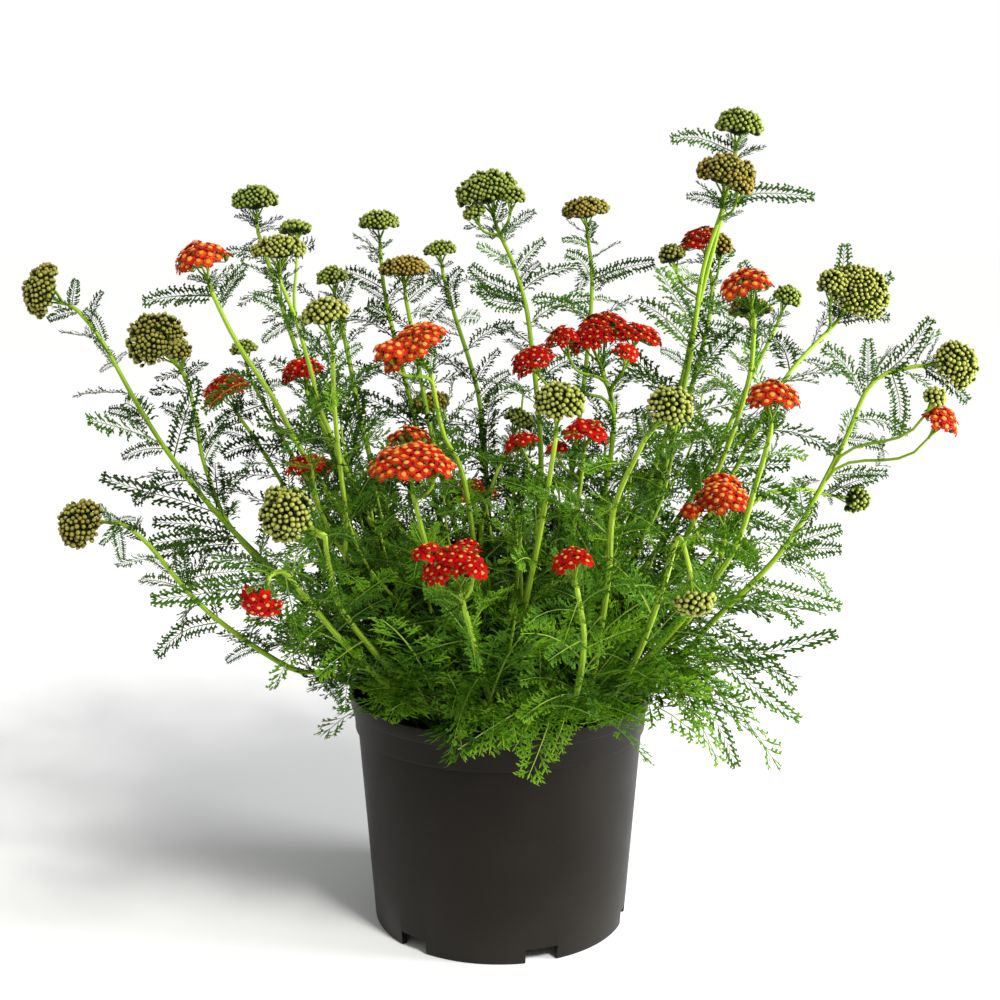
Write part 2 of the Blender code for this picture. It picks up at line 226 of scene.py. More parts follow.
# %% The side heads, each on a branch of its shoot's stem
Side = namedtuple("Side", "name parent tint head across deep depth fork")
SIDE_HEADS = (
    Side("left_pale_side", "left_pale", "green", (296, 229), 34, 20, 55, 0.86),
    Side("left_high_side", "left_high", "olive", (180, 352), 26, 30, 40, 0.93),
    Side("middle_orange_side", "middle_orange", "orange", (388, 352), 34, 22, -85, 0.93),
    Side("front_orange_upper", "front_orange", "orange", (409, 436), 44, 18, -92, 0.90),
    Side("front_orange_right", "front_orange", "orange", (437, 468), 34, 22, -130, 0.92),
    Side("front_red_left", "front_red", "red", (424, 553), 32, 18, -168, 0.90),
    Side("front_red_right", "front_red", "red", (468, 547), 28, 18, -150, 0.90),
    Side("front_red_low", "front_red", "red", (474, 570), 28, 20, -180, 0.93),
    Side("wide_red_low_left", "wide_red", "crimson", (531, 360), 48, 28, -12, 0.86),
    Side("wide_red_left", "wide_red", "crimson", (563, 342), 38, 34, -4, 0.92),
    Side("wide_red_top", "wide_red", "red", (604, 321), 50, 18, 30, 0.92),
    Side("wide_red_right", "wide_red", "red", (636, 333), 56, 22, 12, 0.90),
    Side("wide_red_low_right", "wide_red", "red", (626, 352), 30, 16, -14, 0.90),
    Side("middle_red_left", "middle_red", "red", (556, 449), 26, 16, -40, 0.86),
    Side("middle_red_far", "middle_red", "red", (520, 441), 40, 18, -20, 0.78),
    Side("top_right_side", "top_right", "tinted", (741, 187), 28, 26, 15, 0.94),
    Side("behind_top_left", "red_behind_top", "olive", (672, 256), 28, 28, 112, 0.84),
    Side("behind_top_right", "red_behind_top", "tinted", (721, 248), 26, 30, 105, 0.90),
    Side("right_orange_side", "right_orange", "olive", (750, 309), 46, 20, -40, 0.95),
    Side("right_large_side", "right_large", "pale", (832, 285), 30, 36, 85, 0.93),
    Side("back_tall_side", "back_tall", "green", (512, 197), 28, 26, 70, 0.95),
    Side("back_tall_low", "back_tall", "green", (474, 213), 26, 20, 72, 0.95),
    Side("far_right_hanging", "far_right", "orange", (940, 421), 40, 30, -25, 0.66),
    Side("far_right_bud", "far_right", "pale", (935, 398), 26, 26, -30, 0.70),
    Side("right_low_red_top", "right_low_red", "orange", (722, 481), 40, 16, -40, 0.82),
    Side("right_low_red_left", "right_low_red", "orange", (691, 514), 22, 22, -62, 0.86),
    Side("left_front_side", "left_front", "pale", (276, 497), 28, 26, -140, 0.93),
)
print("side heads:", len(SIDE_HEADS))

# %% [markdown]
# ## One seed for everything that varies
#
# No two leaves are alike, but the plant has to come out the same each time. One numbered random
# source does both.

# %% The random source, and small vector helpers
rng = np.random.default_rng(1753)
GOLDEN_TURN = math.pi * (3 - math.sqrt(5))
UP = np.array((0.0, 0.0, 1.0))
KNOT_STEPS = 12


def unit(vectors):
    """The same vectors, each with a length of one."""
    vectors = np.asarray(vectors, float)
    return vectors / np.maximum(np.linalg.norm(vectors, axis=-1, keepdims=True), 1e-12)


def across_from(direction):
    """Two unit vectors at right angles to the direction and to each other, for one or many."""
    direction = unit(direction)
    flat = np.abs(direction[..., 2:]) > 0.9
    helper = np.where(flat, np.array((1.0, 0.0, 0.0)), UP)
    side = unit(np.cross(helper, direction))
    return side, np.cross(direction, side)


def walked_along(route):
    """How far along the route each of its points is."""
    return np.concatenate([[0], np.cumsum(np.linalg.norm(np.diff(route, axis=0), axis=1))])


def read_at(marks, walked, rows):
    """The rows of a route, read at these distances along it."""
    return np.stack([np.interp(marks, walked, rows[:, k]) for k in range(3)], axis=1)


def smooth_route(knots, step):
    """Points at even steps along a smooth curve through the knots."""
    knots = np.asarray(knots, float)
    fine = []
    for i in range(len(knots) - 1):
        before, start = knots[max(i - 1, 0)], knots[i]
        end, after = knots[i + 1], knots[min(i + 2, len(knots) - 1)]
        for t in np.arange(KNOT_STEPS) / KNOT_STEPS:
            fine.append(0.5 * (
                2 * start
                + (end - before) * t
                + (2 * before - 5 * start + 4 * end - after) * t ** 2
                + (3 * start - before - 3 * end + after) * t ** 3
            ))
    fine = np.array(fine + [knots[-1]])
    walked = walked_along(fine)
    pieces = max(2, round(walked[-1] / step))
    return read_at(np.linspace(0, walked[-1], pieces + 1), walked, fine)


print("helpers ready")

# %% [markdown]
# ## A heap of small parts becomes one piece
#
# A head of buds has a hundred equal ovoids, and a leafy stem has thousands of lobes. As separate
# objects they would be slow, so each is written as rows of points and triangles, the rows are put in
# one heap, and the heap becomes one mesh. Every point also gets two numbers, `u` and `v`, stored as a
# UV map. `u` says where on the part the point is, and `v` says which kind of part it is, such as a
# young leaf or an old one; on leaves and stems `v` also carries painted light and shade. So a material
# can paint a pale tip without any picture.

# %% The heap
TAU = math.tau
triangles = {}


def held(tones):
    """Tones kept a little inside 0 and 1, the range that the materials mix over."""
    return np.clip(tones, 0.01, 0.99)


class Heap:
    """Rows of points, triangles and marks that become one mesh."""

    def __init__(self):
        self.points, self.faces, self.marks, self.count = [], [], [], 0

    def add(self, points, faces, marks):
        """Adds a part: its points, its triangles as rows of point numbers, and each point's (u, v)."""
        self.points.append(np.asarray(points, float).reshape(-1, 3))
        self.marks.append(np.asarray(marks, float).reshape(-1, 2))
        self.faces.append(np.asarray(faces, int).reshape(-1, 3) + self.count)
        self.count += len(self.points[-1])

    def piece(self, name, material, slot, replaces=(), smooth=True):
        """Makes the heap one object that stands with the plant."""
        points, faces = np.concatenate(self.points), np.concatenate(self.faces)
        marks = np.concatenate(self.marks)
        mesh = bpy.data.meshes.new(name)
        mesh.vertices.add(len(points))
        mesh.vertices.foreach_set("co", points.ravel())
        mesh.loops.add(faces.size)
        mesh.loops.foreach_set("vertex_index", faces.ravel())
        mesh.polygons.add(len(faces))
        mesh.polygons.foreach_set("loop_start", np.arange(0, faces.size, 3))
        mesh.update(calc_edges=True)
        mesh.polygons.foreach_set("use_smooth", np.full(len(faces), smooth))
        mesh.uv_layers.new(name="OFBake").data.foreach_set("uv", marks[faces.ravel()].ravel())
        mesh.materials.append(material)
        thing = bpy.data.objects.new(name, mesh)
        bpy.context.scene.collection.objects.link(thing)
        stand(thing, replaces)
        triangles[name] = len(faces)


def stand(thing, replaces=()):
    """Says what the piece rides on, and which measured solids it stands for."""
    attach(thing, "root")
    if replaces:
        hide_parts(*replaces)


print("heap ready")

# %% [markdown]
# ## One small part, laid many times
#
# A bud, a floret or a crumb of soil is modelled once in its own space, about a unit in size, with its
# axis up. `lay_parts` then sets copies of it at many feet, each turned its own way about its axis.

# %% Laying copies of a part
Part = namedtuple("Part", "points faces marks")


def lay_parts(heap, part, feet, ways, sizes, tones):
    """Copies of a part at these feet, pointing these ways, with v moved to each copy's tone."""
    count = len(feet)
    side, over = across_from(ways)
    spin = rng.uniform(0, TAU, count)[:, None]
    side, over = side * np.cos(spin) + over * np.sin(spin), over * np.cos(spin) - side * np.sin(spin)
    sizes = np.broadcast_to(np.asarray(sizes, float), (count,))[:, None, None]
    local = part.points[None] * sizes
    points = feet[:, None] + local[..., :1] * side[:, None] + local[..., 1:2] * over[:, None]
    points = points + local[..., 2:] * unit(ways)[:, None]
    faces = part.faces[None] + (np.arange(count) * len(part.points))[:, None, None]
    marks = np.repeat(part.marks[None], count, axis=0)
    marks[..., 1] = held(marks[..., 1] + np.asarray(tones)[:, None])
    heap.add(points, faces, marks)


print("parts can be laid")

# %% [markdown]
# ## Stems and branches are ribbed tubes
#
# A yarrow stem is furrowed along its length. Every second line of points of the tube stands out a
# little, and `u` is 1 there and 0 in the furrows, so the ribs can be paler and the furrows darker;
# the dark furrows are painted shade. The rings are carried along the route without twisting. A thin
# branch has fewer sides and flatter ribs than a stem.

# %% A ribbed tube along a route
TubeKind = namedtuple("TubeKind", "sides rib")
STEM_TUBE = TubeKind(12, 0.09)
BRANCH_TUBE = TubeKind(8, 0.07)
TWIG_TUBE = TubeKind(6, 0.06)


def heading_along(route):
    """At each point of a route, the way it runs."""
    return unit(np.gradient(route, axis=0))


def sides_along(route):
    """At each point of a route, two ways across it that don't twist."""
    ahead = heading_along(route)
    side = across_from(ahead[0])[0]
    sides = []
    for way in ahead:
        side = unit(side - way * (side @ way))
        sides.append(side)
    sides = np.array(sides)
    return sides, np.cross(ahead, sides)


def add_tube(heap, route, radii, kind, tones):
    """A closed tube with a radius at each point of its route and a tone at each end."""
    rings, sides = len(route), kind.sides
    side, over = sides_along(route)
    turn = np.arange(sides) * TAU / sides
    is_rib = np.arange(sides) % 2
    around = side[:, None] * np.cos(turn)[:, None] + over[:, None] * np.sin(turn)[:, None]
    reach = radii[:, None] * (1 - kind.rib + 2 * kind.rib * is_rib)
    points = route[:, None] + around * reach[..., None]
    tone = held(np.linspace(*tones, rings))
    marks = np.stack(np.broadcast_arrays(is_rib[None].astype(float), tone[:, None]), axis=-1)
    ring, spot = np.meshgrid(np.arange(rings - 1), np.arange(sides), indexing="ij")
    after = (spot + 1) % sides
    a, b = ring * sides + spot, ring * sides + after
    faces = [np.stack([a, b, b + sides], -1), np.stack([a, b + sides, a + sides], -1)]
    spots = np.arange(sides)
    foot_middle, tip_middle = rings * sides, rings * sides + 1
    start = np.stack([np.full(sides, foot_middle), (spots + 1) % sides, spots], -1)
    last_ring = (rings - 1) * sides
    end = np.stack([np.full(sides, tip_middle), last_ring + spots, last_ring + (spots + 1) % sides], -1)
    points = np.concatenate([points.reshape(-1, 3), route[:1], route[-1:]])
    marks = np.concatenate([marks.reshape(-1, 2), [[0.5, tone[0]], [0.5, tone[-1]]]])
    heap.add(points, np.concatenate([f.reshape(-1, 3) for f in (*faces, start, end)]), marks)


print("tubes can be made")

# %% [markdown]
# ## A lobe, a pinna and a leaf
#
# A yarrow leaf is cut twice. From its midrib grow nine to seventeen pairs of narrow side leaves,
# called pinnae, and each pinna is cut into pointed lobes about a millimetre wide. A lobe is thin, flat
# and folded a little along its middle, so four points and two triangles are enough, and the fold
# gives it a light half and a dark half. The leaf is drawn in its own space, a unit long, and is bent
# along a curve when it is laid on the plant.

# %% The folded lobe that every leaf is made of
LOBE_FACES = np.array(((0, 2, 3), (0, 3, 1)))
LOBE_TIP_MARK = 0.70
RIB_MARKS = (0.78, 1.0)
FOLD = 0.22


def lobe(foot, tip, width, widest=0.42):
    """A pointed, folded lobe from foot to tip: four points and two triangles."""
    foot, tip = np.asarray(foot, float), np.asarray(tip, float)
    way = tip - foot
    side = unit(np.cross(UP, way)) * width / 2
    middle = foot + way * widest + UP * width * FOLD * rng.choice((-1, 1))
    points = np.array((foot, middle + side, middle - side, tip))
    u = LOBE_TIP_MARK * np.array((0.0, widest, widest, 1.0))
    return points, np.stack([u, (0.0, 0.03, -0.03, 0.0)], axis=1)


print("triangles in a lobe:", len(LOBE_FACES))

# %% One leaf in its own space
LeafPlan = namedtuple("LeafPlan", "pairs lobes half_width lobe_length lobe_width rib bare lift cuts")
RIB_END = 0.97
RIB_SECTION = np.array(((0, 1, 0), (0, -0.5, 0.6), (0, -0.5, -0.6)))


def draw_leaf(plan):
    """A leaf a unit long, along X, with pinnae to both sides and a three-sided rib.

    The pinnae are longest a little under the middle, and those near the tip lean towards it.
    """
    points, faces, marks = [], [], []

    def put(sliver):
        faces.append(LOBE_FACES + 4 * len(points))
        points.append(sliver[0])
        marks.append(sliver[1])

    places = plan.bare + (RIB_END - plan.bare) * (np.arange(plan.pairs) + 0.5) / plan.pairs
    for along in places:
        grown = (along - plan.bare) / (1 - plan.bare)
        reach = plan.half_width * (0.22 + 0.78 * math.sin(math.pi * min(0.22 + 0.72 * grown, 1.0)) ** 0.8)
        for hand in (-1, 1):
            length = reach * rng.uniform(0.86, 1.10)
            lean = math.radians(68 - 26 * grown + rng.uniform(-4, 4))
            lift = plan.lift * rng.uniform(-0.5, 1.0)
            way = unit((math.cos(lean), hand * math.sin(lean), lift))
            root = np.array((along + rng.uniform(-0.4, 0.4) / plan.pairs / 2, 0, 0))
            tip = root + way * length
            put(lobe(root, tip, plan.lobe_width, 0.6))
            for rank in range(plan.lobes):
                share = 0.30 + 0.50 * rank / max(plan.lobes - 1, 1)
                off = math.radians(rng.uniform(34, 52)) * (1 if (rank + (hand > 0)) % 2 else -1)
                size = plan.lobe_length * (1.1 - 0.4 * share) * rng.uniform(0.75, 1.2)
                size *= 0.35 + 0.65 * length / plan.half_width
                turned = np.array(((math.cos(off), math.sin(off)), (-math.sin(off), math.cos(off))))
                out = unit((*(way[:2] @ turned), way[2] + plan.lift * rng.uniform(-0.6, 0.9)))
                start = root + way * length * share
                put(lobe(start, start + out * size, plan.lobe_width * 0.9))
    put(lobe((0.93, 0, 0), (1.0, 0, 0), plan.lobe_width))
    cuts = np.linspace(0, RIB_END, plan.cuts + 1)
    thick = plan.rib * (1 - 0.72 * cuts)
    rib_points = np.array([(x, 0, 0) for x in cuts])[:, None] + RIB_SECTION * thick[:, None, None] / 2
    base = 4 * len(points)
    for i in range(len(cuts) - 1):
        for j in range(3):
            a, b = base + 3 * i + j, base + 3 * i + (j + 1) % 3
            faces.append(np.array(((a, b + 3, b), (a, a + 3, b + 3))))
    rib_u = np.repeat(np.linspace(*RIB_MARKS, len(cuts)), 3)
    rib_v = np.tile((0.0, 0.03, -0.03), len(cuts))
    points.append(rib_points.reshape(-1, 3))
    marks.append(np.stack([rib_u, rib_v], axis=1))
    return Part(np.concatenate(points), np.concatenate(faces), np.concatenate(marks))


LONG_LEAF = LeafPlan(16, 5, 0.175, 0.048, 0.0145, 0.018, 0.12, 0.30, 8)
OPEN_LEAF = LeafPlan(9, 5, 0.250, 0.095, 0.0270, 0.024, 0.10, 0.22, 8)
STEM_LEAF = LeafPlan(17, 3, 0.220, 0.066, 0.0350, 0.030, 0.03, 0.40, 5)
SMALL_LEAF = LeafPlan(12, 2, 0.240, 0.092, 0.0600, 0.048, 0.03, 0.40, 3)
LEAF_PLANS = {"long": LONG_LEAF, "open": OPEN_LEAF, "stem": STEM_LEAF, "small": SMALL_LEAF}
VARIANTS = 4
LEAF_KINDS = {kind: [draw_leaf(plan) for _ in range(VARIANTS)] for kind, plan in LEAF_PLANS.items()}
for kind, drawn in LEAF_KINDS.items():
    print(kind, "leaf:", len(drawn[0].faces), "triangles")

# %% [markdown]
# ## A leaf bends along its midrib
#
# Each leaf has a course of seventeen points. A leaf on a stem leaves it at an angle and then bends
# down under its own weight, so its course comes from a heading, a slope and a droop. A leaf that is
# placed one by one gets its course from a few knots. Either way, the drawn leaf's X is read as a place
# along the course.

# %% Courses, and leaves laid along them
COURSE = 16
MIDWAY = COURSE // 2
YOUNGER_TIP = 0.10


def arching(feet, headings, slopes, droops, swings, rolls, lengths):
    """Courses for many leaves at once, with the upper side of the leaf at each point."""
    along = np.linspace(0, 1, COURSE + 1)
    slope = slopes[:, None] - droops[:, None] * along
    heading = headings[:, None] + swings[:, None] * along
    level = np.stack([np.cos(heading), np.sin(heading), np.zeros_like(heading)], axis=-1)
    way = level * np.cos(slope)[..., None] + UP * np.sin(slope)[..., None]
    up = UP * np.cos(slope)[..., None] - level * np.sin(slope)[..., None]
    side = np.cross(up, way)
    roll = (rolls[:, None] * (0.4 + 0.6 * along))[..., None]
    up = up * np.cos(roll) + side * np.sin(roll)
    step = (way[:, 1:] + way[:, :-1]) / 2 * (lengths / COURSE)[:, None, None]
    points = np.concatenate([np.zeros_like(step[:, :1]), np.cumsum(step, axis=1)], axis=1)
    return feet[:, None] + points, up


def between_points(rows, place):
    """What the rows of some courses hold at these places, where place 1 is the second point."""
    low = np.minimum(place.astype(int), COURSE - 1)
    share = (place - low)[None, :, None]
    return rows[:, low] * (1 - share) + rows[:, low + 1] * share


def lay_leaves(heap, kind, points, ups, lengths, tones, widths=None):
    """Leaves of one kind, each along its own course, as wide as they are long or as said."""
    way = unit(np.gradient(points, axis=1))
    ups = unit(ups - way * (ups * way).sum(-1, keepdims=True))
    sides = np.cross(ups, way)
    widths = lengths if widths is None else widths
    choice = rng.integers(0, len(LEAF_KINDS[kind]), len(points))
    for variant, drawn in enumerate(LEAF_KINDS[kind]):
        chosen = np.flatnonzero(choice == variant)
        if not len(chosen):
            continue
        place = np.clip(drawn.points[:, 0], 0, 1) * COURSE
        width = widths[chosen][:, None, None]
        laid = between_points(points[chosen], place)
        laid = laid + between_points(sides[chosen], place) * drawn.points[None, :, 1:2] * width
        laid = laid + between_points(ups[chosen], place) * drawn.points[None, :, 2:] * width
        faces = drawn.faces[None] + (np.arange(len(chosen)) * len(drawn.points))[:, None, None]
        marks = np.repeat(drawn.marks[None], len(chosen), axis=0)
        young = YOUNGER_TIP * drawn.points[None, :, 0]
        marks[..., 1] = held(marks[..., 1] + young + tones[chosen][:, None])
        heap.add(laid, faces, marks)


print("a course has", COURSE + 1, "points")

# %% [markdown]
# ## Colour from u and v
#
# A leaf lobe is darker at its foot than at its tip, and the rib is paler than the lobes. A colour ramp
# over `u` says that once for every lobe. Further ramps hold the same places on a younger, brighter
# leaf, and `v` runs from the first ramp to the last. The brighter ramps also stand for painted light
# on leaves at the front and right, and the darkest for painted shade on leaves at the back.

# %% Shader nodes, by what they do
def node(tree, kind, **settings):
    """A new shader node with these settings."""
    made = tree.nodes.new(kind)
    for key, value in settings.items():
        setattr(made, key, value)
    return made


def stops(places, *colours):
    """A ramp's stops: a colour for each place."""
    return tuple(zip(places, colours))


def ramp(tree, value, pairs):
    """A colour ramp from (place, colour) pairs. A new ramp node comes with two stops."""
    made = node(tree, "ShaderNodeValToRGB")
    elements = made.color_ramp.elements
    for (place, colour), element in zip(pairs, (elements[0], elements[1])):
        element.position, element.color = place, (*colour, 1)
    for place, colour in pairs[2:]:
        elements.new(place).color = (*colour, 1)
    tree.links.new(value, made.inputs["Fac"])
    return made.outputs["Color"]


def stretch(tree, value, low, high, to_low=0.0, to_high=1.0):
    """The value moved from one range to another, and held inside it."""
    made = node(tree, "ShaderNodeMapRange", clamp=True)
    for name, number in (("From Min", low), ("From Max", high), ("To Min", to_low), ("To Max", to_high)):
        made.inputs[name].default_value = number
    tree.links.new(value, made.inputs["Value"])
    return made.outputs["Result"]


def mix(tree, share, first, second):
    """Two colours mixed by a linked share; each may be a colour or a link.

    The node has sockets for numbers, vectors and colours: 0 is the share, 6 and 7 are the colours,
    and output 2 is the mixed colour.
    """
    made = node(tree, "ShaderNodeMix", data_type="RGBA")
    for socket, value in zip((made.inputs[0], made.inputs[6], made.inputs[7]), (share, first, second)):
        if isinstance(value, tuple):
            socket.default_value = (*value, 1)
        else:
            tree.links.new(value, socket)
    return made.outputs[2]


print("shader helpers ready")

# %% A material that reads u and v
def start_material(name, roughness, specular):
    """A new material, its node tree and its shader."""
    material = bpy.data.materials.new(name)
    material.use_nodes = True
    tree = material.node_tree
    shader = tree.nodes["Principled BSDF"]
    shader.inputs["Roughness"].default_value = roughness
    shader.inputs["Specular IOR Level"].default_value = specular
    return material, tree, shader


def painted(name, ramps, roughness, specular):
    """A material with these ramps over u, from the first ramp at v = 0 to the last at v = 1."""
    material, tree, shader = start_material(name, roughness, specular)
    where = node(tree, "ShaderNodeUVMap", uv_map="OFBake")
    split = node(tree, "ShaderNodeSeparateXYZ")
    tree.links.new(where.outputs[0], split.inputs[0])
    u, v = split.outputs["X"], split.outputs["Y"]
    colour = ramp(tree, u, ramps[0])
    steps = len(ramps) - 1
    for rank, next_stops in enumerate(ramps[1:]):
        share = stretch(tree, v, rank / steps, (rank + 1) / steps)
        colour = mix(tree, share, colour, ramp(tree, u, next_stops))
    tree.links.new(colour, shader.inputs["Base Color"])
    return material


print("painted materials can be made")

# %% [markdown]
# ## Leaf and stem colours
#
# On a leaf `u` runs from 0 to 0.7 along a lobe and from 0.78 to 1 along the rib. Old leaves are deep
# green, and so are leaves in painted shade. Young ones are a vivid yellow-green, most of all at their
# tips, and so are leaves in painted light. On a stem `u` is 0 in the furrows and 1 on the ribs.

# %% Leaf and stem materials
LEAF_PLACES = (0.0, LOBE_TIP_MARK / 2, LOBE_TIP_MARK, *RIB_MARKS)
# Old and young leaves, and also leaves in painted shade and in painted light: v picks the ramp.
OLD_AND_SHADED_LEAF = stops(LEAF_PLACES, (0.006, 0.018, 0.001), (0.011, 0.036, 0.002), (0.026, 0.070, 0.004),
                 (0.060, 0.105, 0.014), (0.042, 0.085, 0.009))
GROWN_LEAF = stops(LEAF_PLACES, (0.020, 0.070, 0.002), (0.045, 0.140, 0.003), (0.120, 0.275, 0.008),
                   (0.200, 0.330, 0.035), (0.150, 0.290, 0.022))
YOUNG_AND_LIT_LEAF = stops(LEAF_PLACES, (0.075, 0.210, 0.003), (0.160, 0.370, 0.006), (0.400, 0.600, 0.030),
                   (0.450, 0.600, 0.080), (0.380, 0.560, 0.060))
LEAF = painted("yarrow_leaf", (OLD_AND_SHADED_LEAF, GROWN_LEAF, YOUNG_AND_LIT_LEAF), 0.5, 0.12)
# On every stem ramp the furrow, at 0, is darker than the rib, at 1: painted shade in the furrows.
STEM_PLACES = (0.0, 1.0)
# The first ramp, at a stem's foot and on stalks at the back, is darker partly with age and partly as
# painted shade.
OLD_AND_SHADED_STEM = stops(STEM_PLACES, (0.035, 0.070, 0.006), (0.085, 0.150, 0.014))
GREEN_STEM = stops(STEM_PLACES, (0.120, 0.235, 0.008), (0.240, 0.410, 0.016))
PALE_STEM = stops(STEM_PLACES, (0.290, 0.460, 0.022), (0.500, 0.680, 0.075))
STEM = painted("yarrow_stem", (OLD_AND_SHADED_STEM, GREEN_STEM, PALE_STEM), 0.45, 0.14)
print("leaf and stem colours ready")

# %% [markdown]
# ## Buds
#
# A closed yarrow head is a small ovoid wrapped in overlapping scales. It is about four millimetres
# long, round at the end and narrow at its foot. Its scales show as faint ridges, which come from six
# sides. The ramps paint a highlight on each bud's shoulder and paint its foot dark, as painted shade
# between the buds.

# %% A small turned part
def turned_part(rings, sides, foot, top, u_range, ridge=0.0):
    """A closed turned part from foot to top; rings are (height, radius) pairs.

    `u` runs over its range from the foot to the top, and ridge lifts every second side.
    """
    points, marks = [(0, 0, foot)], [(u_range[0], 0)]
    span = u_range[1] - u_range[0]
    for rank, (height, radius) in enumerate(rings):
        for j in range(sides):
            turn = TAU * (j + 0.5 * (rank % 2)) / sides
            lifted = 1 if j % 2 else -1
            r = radius * (1 + ridge * lifted)
            points.append((r * math.cos(turn), r * math.sin(turn), height))
            marks.append((u_range[0] + span * (height - foot) / (top - foot), 0.02 * lifted))
    points.append((0, 0, top))
    marks.append((u_range[1], 0))
    faces = [(0, 1 + (j + 1) % sides, 1 + j) for j in range(sides)]
    for rank in range(len(rings) - 1):
        low, high = 1 + rank * sides, 1 + (rank + 1) * sides
        for j in range(sides):
            k = (j + 1) % sides
            if rank % 2:
                faces += [(low + j, low + k, high + k), (low + j, high + k, high + j)]
            else:
                faces += [(low + j, low + k, high + j), (low + k, high + k, high + j)]
    last, end = 1 + (len(rings) - 1) * sides, len(points) - 1
    faces += [(last + j, last + (j + 1) % sides, end) for j in range(sides)]
    return Part(np.array(points, float), np.array(faces), np.array(marks, float))


print("turned parts can be made")

# %% The bud, and its colours
BUD_LENGTH = 4.3 * MM
BUD_RINGS = ((0.20, 0.20), (0.58, 0.330), (0.88, 0.20))
BUD = turned_part(BUD_RINGS, 6, 0.0, 1.0, (0.0, 1.0))
# Along u, from foot to tip: a dark foot, painted shade between buds, then a painted highlight on the
# shoulder at 0.86.
BUD_PLACES = (0.0, 0.64, 0.86, 1.0)
GREEN_BUD = stops(BUD_PLACES, (0.006, 0.016, 0.001), (0.028, 0.058, 0.003), (0.270, 0.370, 0.060),
                  (0.230, 0.310, 0.032))
PALE_BUD = stops(BUD_PLACES, (0.008, 0.012, 0.001), (0.044, 0.052, 0.003), (0.440, 0.460, 0.105),
                 (0.340, 0.340, 0.050))
OLIVE_BUD = stops(BUD_PLACES, (0.007, 0.008, 0.001), (0.030, 0.028, 0.002), (0.300, 0.280, 0.050),
                  (0.230, 0.170, 0.020))
TINTED_BUD = stops(BUD_PLACES, (0.012, 0.012, 0.001), (0.070, 0.050, 0.004), (0.520, 0.370, 0.058),
                   (0.500, 0.150, 0.014))
BUDS = painted("closed_buds", (GREEN_BUD, PALE_BUD, OLIVE_BUD, TINTED_BUD), 0.45, 0.12)
BUD_TONES = {"green": (0.02, 0.22), "pale": (0.20, 0.42), "olive": (0.36, 0.74), "tinted": (0.52, 0.98)}
print("triangles in a bud:", len(BUD.faces))

# %% [markdown]
# ## Florets
#
# What looks like one flower is a small head of its own: five broad rays around a disc of tube-shaped
# florets, over a green cup of scales. One that is still opening has a large domed disc, and that is
# what makes the orange heads orange. `u` is 0 to 0.33 along a ray, 0.36 to 0.6 from the disc's middle
# to its edge, and 0.64 to 1 up the cup.

# %% The floret, and its colours
FLORET_ACROSS = 6.2 * MM
RAYS = 5
RAY_ROWS = ((0.12, 0.60, 0.02, 0.0), (0.38, 0.56, 0.05, 0.18))
RAY_TEETH = ((-0.30, 0.54), (0.0, 0.50), (0.30, 0.54))
RAY_END_U = 0.33
CUP_RINGS = ((-0.40, 0.16), (-0.10, 0.20))
DISC_SIDES = 7


def floret_part(disc_radius, disc_height):
    """A floret one unit across, facing up, with its middle at the origin.

    A ray's rows are how far out they are, half their angle, their height and their u. Its end is
    three teeth, the middle one set back.
    """
    points, faces, marks = [], [], []

    def put(out, turn, height, u, tilt):
        points.append((out * math.cos(turn), out * math.sin(turn), height))
        marks.append((u, 0.03 * np.sign(tilt)))

    for ray in range(RAYS):
        middle = TAU * ray / RAYS
        base = len(points)
        for out, half, height, u in RAY_ROWS:
            for turn, rise in ((-half, -0.02), (0.0, 0.01), (half, -0.02)):
                put(out, middle + turn, height + rise, u, turn)
        for turn, out in RAY_TEETH:
            put(out, middle + turn, -0.04, RAY_END_U, turn)
        for row in range(2):
            for column in range(2):
                a = base + 3 * row + column
                faces += [(a, a + 3, a + 4), (a, a + 4, a + 1)]
    cup = turned_part(CUP_RINGS, 5, -0.60, -0.02, (0.64, 1.0))
    rings = ((disc_height * 0.45, disc_radius), (disc_height, disc_radius * 0.6))
    disc = turned_part(rings, DISC_SIDES, -0.02, disc_height, (0.60, 0.36), 0.07)
    disc.marks[:, 0] = np.repeat((0.60, 0.56, 0.42, 0.36), (1, DISC_SIDES, DISC_SIDES, 1))
    for part in (cup, disc):
        faces += [tuple(len(points) + k for k in face) for face in part.faces]
        points += [tuple(p) for p in part.points]
        marks += [tuple(m) for m in part.marks]
    return Part(np.array(points, float), np.array(faces), np.array(marks, float))


FLORET = floret_part(0.17, 0.13)
OPENING_FLORET = floret_part(0.25, 0.17)
CUP = stops((0.64, 1.0), (0.040, 0.100, 0.010), (0.160, 0.260, 0.040))
RAY_PLACES = (0.0, 0.16, RAY_END_U)
DISC_PLACES = (0.36, 0.60)
DEEP_RED = (
    *stops(RAY_PLACES, (0.140, 0.001, 0.001), (0.360, 0.001, 0.002), (0.230, 0.001, 0.002)),
    *stops(DISC_PLACES, (0.560, 0.160, 0.040), (0.340, 0.024, 0.006)), *CUP,
)
SCARLET = (
    *stops(RAY_PLACES, (0.300, 0.004, 0.001), (0.560, 0.003, 0.002), (0.360, 0.001, 0.004)),
    *stops(DISC_PLACES, (0.860, 0.420, 0.120), (0.740, 0.190, 0.030)), *CUP,
)
AMBER = (
    *stops((0.0, 0.15, 0.25, RAY_END_U), (0.660, 0.180, 0.004), (0.620, 0.078, 0.006),
           (0.520, 0.008, 0.014), (0.380, 0.002, 0.036)),
    *stops(DISC_PLACES, (0.730, 0.230, 0.018), (0.580, 0.095, 0.008)), *CUP,
)
FLORETS = painted("open_florets", (DEEP_RED, SCARLET, AMBER), 0.6, 0.05)
FLORET_TONES = {"crimson": (0.01, 0.22), "red": (0.10, 0.50), "orange": (0.55, 0.98)}
print("triangles in a floret:", len(FLORET.faces))

